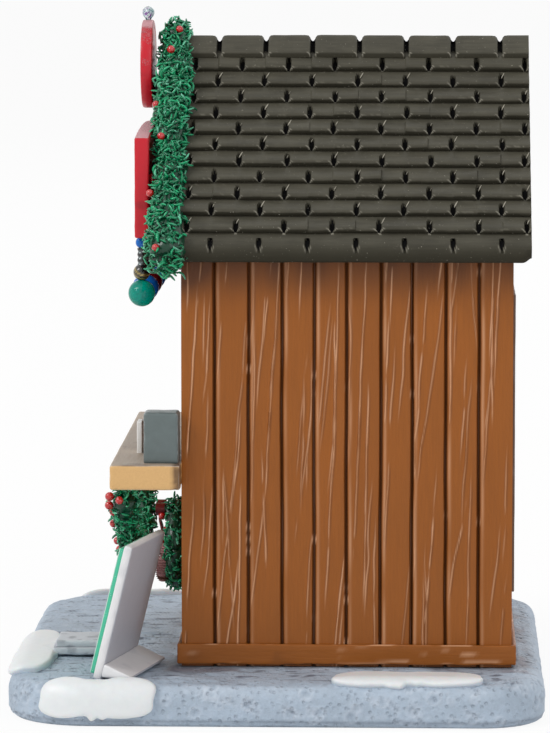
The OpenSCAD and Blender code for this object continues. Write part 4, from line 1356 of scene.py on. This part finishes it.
def strands(shape, roots, outward, rng, reach, thick):
    """Curled strands growing from the roots, each a thin three-sided tube that tapers to its tip."""
    count, parts, curl = len(roots), 4, 2.7
    rise = rng.uniform(-0.35, 0.3, (count, 1))
    ahead = unit(outward * rise + unit(rng.normal(size=(count, 3))) * 0.8)
    bend = unit(np.cross(ahead, rng.normal(size=(count, 3)))) * rng.uniform(0.3, 1.1, (count, 1)) * curl
    bend = bend - outward * 0.3 * curl
    run = reach * rng.uniform(0.55, 1.25, (count, 1)) / parts
    centre, rings = roots.copy(), []
    for taper in (0.8, 1.0, 1.0, 0.9, 0.45):
        across = unit(np.cross(ahead, outward + 0.01))
        level = np.cross(ahead, across)
        corners = [across * math.cos(t) + level * math.sin(t) for t in (0.5, 2.6, 4.7)]
        rings.append(np.stack([centre + c * thick * 0.5 * taper for c in corners], 1))
        centre = centre + ahead * run
        ahead = unit(ahead + bend * 0.5)
    points = np.stack(rings, 1)
    tip = np.linspace(0, 1, parts + 1)[None, :, None] + np.zeros((count, 1, 3))
    # Painted highlights towards the tips and on some whole strands; painted shade at the roots, deep in the
    # greens, and on some whole strands.
    bright = rng.uniform(0, 1, (count, 1, 1)) ** 2
    light = smooth(tip, 0.3, 0.9) * 0.7 * bright + 0.35 * (bright > 0.8)
    dark = 0.9 * smooth(-tip, -0.35, 0.0) + 0.4 * (bright < 0.06)
    shade = rng.uniform(0, 1, (count, 1, 1)) + 0 * tip
    number = shape.add(points, np.stack([light, dark, shade], -1))
    after = np.roll(number, -1, 2)
    sides = np.stack([number[:, :-1], after[:, :-1], after[:, 1:], number[:, 1:]], -1)
    shape.faces.append(sides.reshape(-1, 4))
    shape.faces.append(number[:, 0, ::-1])
    shape.faces.append(number[:, -1])
    shape.close()


def tube(shape, path, radius, seed, count=20):
    """A lumpy core along a path of points, closed at both ends, painted dark as the shade deep inside the
    greens.
    """
    ahead = unit(np.gradient(path, axis=0))
    across = unit(np.cross(ahead, [0, 1, 0.001]))
    level = np.cross(ahead, across)
    angle = np.arange(count) * 2 * math.pi / count
    out = across[:, None] * np.cos(angle)[:, None] + level[:, None] * np.sin(angle)[:, None]
    skin = path[:, None] + out * radius[:, None, None]
    skin = skin + out * 0.5 * noise(skin, 1.8, seed, 2)[..., None]
    # Painted shade: the core's paint is all dark.
    shape.sweep(skin, (0.0, 1.0, 0.4))


def tufts(shape, path, radius, count, seed, keep, reach=None):
    """Strands all over a path; keep picks the roots that may grow."""
    rng = np.random.default_rng(seed)
    ahead = unit(np.gradient(path, axis=0))
    far = np.arange(len(path))
    pick = rng.uniform(0, len(path) - 1, count)
    at = lambda table: np.stack([np.interp(pick, far, table[:, k]) for k in range(3)], -1)
    out = unit(rng.normal(size=(count, 3)))
    direction = at(ahead)
    out = unit(out - (out * direction).sum(-1, keepdims=True) * direction)
    ends = smooth(np.abs(pick / (len(path) - 1) - 0.5), 0.47, 0.5)[:, None]
    outward_end = direction * np.sign(pick / (len(path) - 1) - 0.5)[:, None]
    out = unit(out * (1 - 0.7 * ends * rng.uniform(0, 1, (count, 1))) + outward_end * ends)
    deep = np.interp(pick, far, radius)[:, None] * rng.uniform(0.74, 1.0, (count, 1))
    roots = at(path) + out * deep
    chosen = keep(roots)
    strands(shape, roots[chosen], out[chosen], rng, reach or size("strand_length"), size("strand_width"))


def berries(name, spots, seed):
    """Round berries, each with a dark eye."""
    shape, radius = Shape(), size("berry")
    rng = np.random.default_rng(seed)
    for spot in spots:
        grown = radius * rng.uniform(0.85, 1.1)
        eye = np.array(spot) + unit(rng.normal(size=3)) * grown
        lathe(shape, ball(grown, 12), np.array(spot, float), "Z", 16, lambda p: np.stack(
            [0 * p[..., 0], 0.8 * hump(np.linalg.norm(p - eye, axis=-1), 0.3), 0 * p[..., 0] + 0.5], -1))
    return shape.make(name, FINISHES["berry"], "garland_green")


def rake_garlands():
    """The garlands up the two front edges of the roof."""
    low, high = box("roof_right")
    slope = sizes().roof_slope
    y, reach, ridge = low[1] - 0.7, high[0], high[2]
    foot, peak = np.array([reach, y, low[2] + 1.2]), np.array([0.0, y, ridge + 1.6])
    tan = math.tan(slope)
    share = np.linspace(0, 1, 60)[:, None]
    for side, node, seed in ((1, "garland_right", 151), (-1, "garland_left", 173)):
        path = foot + (peak - foot) * share
        path[:, 1] += 0.35 * along(share[:, 0] * 65, 9, seed) + 0.5 * (1 - share[:, 0])
        path[:, 2] += 0.35 * along(share[:, 0] * 65, 11, seed + 1)
        path = path * (side, 1, 1)
        radius = 4.15 - 1.15 * share[:, 0] + 0.35 * along(share[:, 0] * 65, 5, seed + 2)
        radius = radius * (0.8 + 0.2 * smooth(share[:, 0], 0, 0.03)) + 0.5 * hump(share[:, 0] - 0.05, 0.07)

        def keep(roots, s=side):
            top = ridge + 1.4 - np.abs(roots[:, 0]) * tan
            inside = (roots[:, 1] > low[1] + 0.1) & (roots[:, 2] < top - 0.2)
            inside = inside & (np.abs(roots[:, 0]) < reach - 0.2)
            return ~inside & (roots[:, 0] * s > -1.5)

        shape = Shape()
        tube(shape, path, radius * 0.86, seed + 3)
        tufts(shape, path, radius, 4300, seed + 4, keep)
        name = node.replace("garland", "gable_greens")
        shape.make(name, FINISHES["leaf"], "garland_green", node, sharp=180)
        spots = [(0.02, 25, 3.6), (0.27, 62, 3.9), (0.50, 25, 3.8), (0.66, 60, 3.7), (0.89, 8, 3.4),
                 (0.985, -20, 3.4), (0.12, 150, 4.0), (0.38, 120, 3.9), (0.58, 165, 3.8), (0.78, 135, 3.6)]
        spots = [foot * (side, 1, 1) + (peak - foot) * (side, 1, 1) * t + np.array(
            [side * r * math.cos(math.radians(a)) * 0.8, -r * math.sin(math.radians(a)) - 0.4,
             r * math.cos(math.radians(a)) * 0.62]) for t, a, r in spots]
        berries(node.replace("garland", "gable_berries"), spots, seed + 5)


def counter_garland():
    """The garland that hangs in one sweep below the counter."""
    low, high = box("counter_garland")
    shelf, _ = box("counter")
    x = np.linspace(low[0] + 0.5, high[0] - 0.5, 70)
    ends, middle, y = high[2] - 3.2, low[2] + 3.6, (low[1] + high[1]) / 2
    z = ends - (ends - middle) * (1 - (x / x[-1]) ** 2)
    path = np.stack([x, y + 0.4 * along(x, 7, 181), z + 0.4 * along(x, 8, 182)], -1)
    radius = 2.0 + 0.4 * along(x, 5, 183) + 0.8 * hump(np.abs(x) - x[-1], 6)
    shape = Shape()
    under = shelf[2] - 0.3
    tube(shape, path, radius * 0.86, 184)
    tufts(shape, path, radius, 2500, 185, lambda roots: roots[:, 2] < under)
    shape.make("counter_greens", FINISHES["leaf"], "garland_green", "counter_garland", sharp=180)
    spots = []
    for side in (-1, 1):
        for across, back, drop in ((39.5, -3.4, 0.2), (41.2, -1.2, 0.8), (38.0, -3.6, 2.6),
                                   (35.0, -2.9, 4.4), (30.5, -3.2, 7.6), (22.0, -3.0, 12.6),
                                   (12.0, -3.1, 16.0), (4.0, -3.2, 18.0)):
            spots.append((side * across, y + back, ends - drop + (0.6 if across > 38 else 0.9)))
    berries("counter_berries", spots, 187)


def ribbon(shape, path, across, wide, thick):
    """A flat ribbon along a path."""
    path, across = np.asarray(path, float), np.asarray(across, float)
    ahead = unit(np.gradient(path, axis=0))
    side = unit(across - (ahead * across).sum(-1, keepdims=True) * ahead)
    up = np.cross(ahead, side)
    corner = [(-0.5, -0.5), (0.5, -0.5), (0.5, 0.5), (-0.5, 0.5)]
    rings = np.stack([path + side * (a * wide) + up * (b * thick) for a, b in corner], 1)
    shape.sweep(rings)


def wreath():
    """The wreath on the front wall, with cones, berries and a bow."""
    low, high = box("wreath")
    middle = (low + high) / 2
    ring, reach = (high[0] - low[0]) / 2 - 3.1, 2.3
    angle = np.linspace(0, 2 * math.pi, 60)
    path = middle + np.stack([ring * np.cos(angle), 0 * angle - 0.1, ring * np.sin(angle)], -1)
    shape = Shape()
    tube(shape, path, np.full(60, reach * 0.9), 191, 16)
    tufts(shape, path, np.full(60, reach), 1300, 193, lambda roots: roots[:, 1] < high[1] - 0.3, 1.9)
    shape.make("wreath_greens", FINISHES["leaf"], "garland_green", "wreath", sharp=180)
    cones = Shape()
    for turn, tall in ((-35, 4.6), (-52, 4.0), (205, 4.6), (222, 4.0)):
        a = math.radians(turn)
        spot = middle + (ring * math.cos(a), -3.0, ring * math.sin(a))
        profile = [(0, -tall / 2)]
        for k, z in enumerate(steps(-0.48, 0.48, 0.055)):
            wide = 1.55 * math.sqrt(max(0, 1 - (z * 1.9) ** 2)) * (1.12 if k % 2 else 0.86)
            profile.append((max(wide, 0.05), z * tall))
        profile.append((0, tall / 2))
        lathe(cones, profile, spot, "Z", 14, lambda p: np.stack(
            [0.8 * hump(np.mod((p[..., 2] - spot[2]) * 3.9, 1) - 0.5, 0.2), 0.6 * hump(
                np.mod((p[..., 2] - spot[2]) * 3.9, 1), 0.3), 0 * p[..., 2] + 0.5], -1))
    cones.make("wreath_cones", FINISHES["cone"], "bow_red")
    turns = (0.25, 1.05, 2.1, 2.9, 4.4, 5.0)
    spots = [middle + (ring * math.cos(a), -3.2, ring * math.sin(a)) for a in turns]
    berries("wreath_berries", spots, 197)
    low, high = box("wreath_bow")
    knot = np.array([0, (low[1] + high[1]) / 2 - 0.1, high[2] - 1.8])
    shape = Shape()
    lathe(shape, ball(1.05, 10), knot - (0, 0.5, 0), "Y", 14)
    t = np.linspace(0, 2 * math.pi, 22)
    for side in (-1, 1):
        loop = knot + np.stack([side * (2.2 - 2.2 * np.cos(t)), -0.25 * np.sin(t / 2),
                                1.25 * np.sin(t) + 0.35 * (1 - np.cos(t))], -1)
        ribbon(shape, loop, (0, 1, 0), 2.0, 0.35)
        drop = np.linspace(0, 1, 14)
        tail = knot + np.stack([side * (0.3 + 2.3 * drop), -0.3 - 0.3 * np.sin(drop * 5), -5.2 * drop], -1)
        ribbon(shape, tail, (1, 0, 0.3 * side), 1.5, 0.3)
    shape.make("wreath_ribbon", FINISHES["bow"], "bow_red", "wreath_bow", sharp=50)


# ---------------------------------------------------------------- standing board

def standing_board():
    """The board that stands leaning at the corner: pale back sheet, glittering face and a wedge foot."""
    lean, turn = sizes().board_lean, sizes().board_turn
    wide, tall = size("board_width"), size("board_length")
    base_z = box("plinth")[1][2]
    spot = np.array([size("board_x"), box("wall_right")[0][1] - size("board_off"), base_z])

    def stand(points):
        x, y, z = points.T
        return spot + np.stack([x * math.cos(turn) + y * math.sin(turn),
                                y * math.cos(turn) - x * math.sin(turn), z], -1)

    def tip(points):
        x, y, z = points.T
        return stand(np.stack([x, y * math.cos(lean) + z * math.sin(lean),
                               z * math.cos(lean) - y * math.sin(lean)], -1))

    def wedge(points):
        x, y, z = points.T
        share = (y - 3.0) / 6.6
        z = z * (3.1 - 2.4 * share)
        return stand(np.stack([x, y + z * math.tan(lean) * (1 - share), z], -1))

    def sheet(points, out, near):
        move = 0.05 * noise(points, 4, 201, 2)
        light = 0.8 * smooth(near, 0.2, 0.8)
        grey = smooth(out[:, 1], 0.6, 0.95)
        return move, np.stack([light, 0.5 * smooth(noise(points, 3, 202), 0.3, 0.7), grey], -1)

    def picture(points, out, near):
        border, front = 2.6, out[:, 1] < -0.5
        off = np.abs(points - (0, 0, tall / 2)) - (wide / 2, 0, tall / 2)
        line = np.maximum(off[:, 0], off[:, 2]) + border
        rim = smooth(line, -0.15, 0.15) * front
        diamond = np.abs(points[:, 0]) * 0.9 + np.abs(points[:, 2] - tall * 0.58) * 0.55
        light = np.clip(0.9 * rim + 0.8 * smooth(-diamond, -4.2, -3.9) * front, 0, 1)
        move = 0.10 * rim + 0.04 * noise(points, 1.2, 203)
        return move, np.stack([light, 0.5 * hump(line, 0.3), 0 * near + 0.5], -1)

    shape = Shape()
    block(shape, (-wide / 2, 1, 0.1), (wide / 2, 2.9, tall), 0.8, 0.9, sheet, tip)
    shape.make("board_sheet", FINISHES["board"], "board_white", "stand_back")
    shape = Shape()
    block(shape, (1.1 - wide / 2, 0, 1.1), (wide / 2 - 1.1, 1.05, tall - 1.1), 0.3, 0.35, picture, tip)
    shape.make("board_picture", FINISHES["mint"], "board_green", "stand_face")
    shape = Shape()
    block(shape, (-wide / 2, 2.9, 0.12), (wide / 2, 9.6, 1), 0.28, 0.6, sheet, wedge)
    shape.make("board_wedge", FINISHES["board"], "board_grey", "stand_foot")


# ---------------------------------------------------------------- stage

def lamp(name, place, aim, across, power, shade=(1, 1, 1)):
    """A square soft lamp."""
    light = bpy.data.lights.new(name, "AREA")
    light.energy, light.size, light.color = power, across, shade
    holder = bpy.data.objects.new(name, light)
    holder.location = place
    holder.rotation_euler = (Vector(aim) - Vector(place)).to_track_quat("-Z", "Y").to_euler()
    bpy.context.scene.collection.objects.link(holder)


def white_to_camera(tree, behind, output, kind, shown):
    """Shows the camera and sharp reflections white from a node of the given kind, and all else the shader
    behind it. Shown is how much of the white is mixed in."""
    def combine(operation, *values):
        node = tree.nodes.new("ShaderNodeMath")
        node.operation = operation
        for socket, value in zip(node.inputs, values):
            if isinstance(value, float):
                socket.default_value = value
            else:
                tree.links.new(value, socket)
        return node.outputs[0]

    path = tree.nodes.new("ShaderNodeLightPath").outputs
    sharp = combine("MAXIMUM", path["Is Glossy Ray"], path["Is Transmission Ray"])
    seen = combine("MAXIMUM", path["Is Camera Ray"], sharp)
    white = tree.nodes.new(kind)
    white.inputs["Color"].default_value = (1, 1, 1, 1)
    white.inputs["Strength"].default_value = 1.0
    mix = tree.nodes.new("ShaderNodeMixShader")
    tree.links.new(combine("MULTIPLY", seen, shown), mix.inputs[0])
    tree.links.new(behind.outputs[0], mix.inputs[1])
    tree.links.new(white.outputs[0], mix.inputs[2])
    tree.links.new(mix.outputs[0], tree.nodes[output].inputs["Surface"])


def stage():
    """Floor, light, background and camera."""
    mesh = bpy.data.meshes.new("floor")
    mesh.from_pydata([(-6, -6, 0), (6, -6, 0), (6, 6, 0), (-6, 6, 0)], [], [(0, 1, 2, 3)])
    ground = bpy.data.objects.new("floor", mesh)
    ground.location = (0, 0, -0.0001)
    bpy.context.scene.collection.objects.link(ground)
    material = bpy.data.materials.new("floor")
    material.use_nodes = True
    tree = material.node_tree
    shader = tree.nodes["Principled BSDF"]
    shader.inputs["Base Color"].default_value = colour("floor")
    shader.inputs["Roughness"].default_value = 0.9
    white_to_camera(tree, shader, "Material Output", "ShaderNodeEmission", 0.9)
    mesh.materials.append(material)

    world = bpy.data.worlds.new("studio")
    bpy.context.scene.world = world
    world.use_nodes = True
    tree = world.node_tree
    air = tree.nodes["Background"]
    air.inputs["Color"].default_value = (1, 1, 1, 1)
    air.inputs["Strength"].default_value = 0.62
    white_to_camera(tree, air, "World Output", "ShaderNodeBackground", 1.0)

    lamp("key", (0.75, -1.15, 1.15), (0, 0, 0.07), 0.7, 12.0, (1.0, 0.99, 0.97))
    lamp("fill", (1.4, 0.9, 0.9), (0, 0, 0.07), 1.2, 5.0, (0.97, 0.98, 1.0))
    lamp("rear", (-1.3, 0.6, 1.0), (0, 0, 0.07), 1.2, 5.0)

    eye, aim = Vector((0.9975, 0.0327, 0.1789)), Vector((0.0405, -0.0003, 0.0739))
    camera = bpy.data.cameras.new("camera")
    camera.lens = 223.3
    camera.sensor_width = 36
    camera.clip_start = 0.05
    holder = bpy.data.objects.new("camera", camera)
    holder.location = eye
    holder.rotation_euler = (aim - eye).to_track_quat("-Z", "Y").to_euler()
    bpy.context.scene.collection.objects.link(holder)
    bpy.context.scene.camera = holder
    bpy.context.scene.view_settings.view_transform = "Standard"


# ---------------------------------------------------------------- operators and panel

FINISHES = {}


def paints():
    """All the finishes, from the scene's colours."""
    FINISHES.update(
        stone=stone_finish(), pad=pad_finish(), snow=snow_finish(), wood=wood_finish("wood", (1, 1, 16)),
        wood_flat=wood_finish("wood_flat", (14, 14, 1)), panel=panel_finish(), roof=roof_finish(),
        counter=counter_finish(), sign=sign_finish(), leaf=leaf_finish(), mint=mint_finish(),
        finial=finial_finish(), neck=neck_finish(), board=board_finish(),
        cash=plain_finish("cash", "cash", "pad", "black", 0.35, 1.6, 0.06, 0.2),
        card=plain_finish("card", "card", "snow", "board_back", 0.5, 1.2, 0.04),
        black=plain_finish("black", "black", "board_back", "black", 0.4, 1.0, 0.08, 0.2),
        berry=plain_finish("berry", "red", "frost", "maroon", 0.12, 0.7, 0.05, 0.8),
        bow=plain_finish("bow", "maroon", "sign", "black", 0.35, 0.8, 0.08, 0.3),
        cone=plain_finish("cone", "cone", "frost", "wood_dark", 0.5, 0.6, 0.08, 0.1),
        glass_green=glass_finish("glass_green", "glass_green", 0.35),
        glass_blue=glass_finish("glass_blue", "glass_blue", 0.25),
        glass_red=glass_finish("glass_red", "maroon", 0.2),
    )


class Step:
    """What the operators share: run the builder of a piece, and pass on any failure."""

    bl_options = {"REGISTER", "UNDO"}

    def execute(self, context):
        self.build()
        return {"FINISHED"}


class HUT_OT_paints(Step, bpy.types.Operator):
    """Mix the finishes from the colours"""
    bl_idname = "hut.paints"
    bl_label = "Paints"

    def build(self):
        paints()


class HUT_OT_plinth(Step, bpy.types.Operator):
    """Build the plinth, its stone pad and the snow"""
    bl_idname = "hut.plinth"
    bl_label = "Plinth and snow"

    def build(self):
        base = Base()
        plinth(base)
        stone_pad()
        snow(base)


class HUT_OT_walls(Step, bpy.types.Operator):
    """Build the boarded walls, sills and back panel"""
    bl_idname = "hut.walls"
    bl_label = "Walls"

    def build(self):
        walls()
        sills()
        back_panel()


class HUT_OT_roof(Step, bpy.types.Operator):
    """Build the shingled slopes and the ridge"""
    bl_idname = "hut.roof"
    bl_label = "Roof"

    def build(self):
        roof_slope(1, "roof_right", "shingles_right", 7)
        roof_slope(-1, "roof_left", "shingles_left", 17)
        ridge_cap()


class HUT_OT_counter(Step, bpy.types.Operator):
    """Build the counter, cash box and price card"""
    bl_idname = "hut.counter"
    bl_label = "Counter"

    def build(self):
        counter()
        counter_goods()


class HUT_OT_signs(Step, bpy.types.Operator):
    """Build the signs, their blocks and the glass bulb"""
    bl_idname = "hut.signs"
    bl_label = "Signs"

    def build(self):
        signs()


class HUT_OT_ornaments(Step, bpy.types.Operator):
    """Build the hanging ornaments"""
    bl_idname = "hut.ornaments"
    bl_label = "Ornaments"

    def build(self):
        ornaments()


class HUT_OT_greens(Step, bpy.types.Operator):
    """Build the garlands and the wreath"""
    bl_idname = "hut.greens"
    bl_label = "Garlands and wreath"

    def build(self):
        rake_garlands()
        counter_garland()
        wreath()


class HUT_OT_board(Step, bpy.types.Operator):
    """Build the standing board"""
    bl_idname = "hut.board"
    bl_label = "Standing board"

    def build(self):
        standing_board()


class HUT_OT_stage(Step, bpy.types.Operator):
    """Set the floor, light and camera"""
    bl_idname = "hut.stage"
    bl_label = "Stage"

    def build(self):
        stage()


STEPS = (HUT_OT_paints, HUT_OT_plinth, HUT_OT_walls, HUT_OT_roof, HUT_OT_counter, HUT_OT_signs,
         HUT_OT_ornaments, HUT_OT_greens, HUT_OT_board, HUT_OT_stage)


class HUT_PT_build(bpy.types.Panel):
    """Buttons for the pieces, with their sizes and colours"""
    bl_label = "Market hut"
    bl_space_type = "VIEW_3D"
    bl_region_type = "UI"
    bl_category = "Hut"

    def draw(self, context):
        layout = self.layout
        for step in STEPS:
            layout.operator(step.bl_idname)
        for group in (context.scene.hut_sizes, context.scene.hut_colours):
            for key in group.__annotations__:
                layout.prop(group, key)


CLASSES = (HutSizes, HutColours, *STEPS, HUT_PT_build)


def register():
    for item in CLASSES:
        bpy.utils.register_class(item)
    bpy.types.Scene.hut_sizes = bpy.props.PointerProperty(type=HutSizes)
    bpy.types.Scene.hut_colours = bpy.props.PointerProperty(type=HutColours)


def unregister():
    del bpy.types.Scene.hut_colours
    del bpy.types.Scene.hut_sizes
    for item in reversed(CLASSES):
        bpy.utils.unregister_class(item)


def main():
    """Builds every piece in order."""
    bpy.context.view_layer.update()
    register()
    for step in STEPS:
        group, call = step.bl_idname.split(".")
        getattr(getattr(bpy.ops, group), call)()


if __name__ == "__main__":
    main()
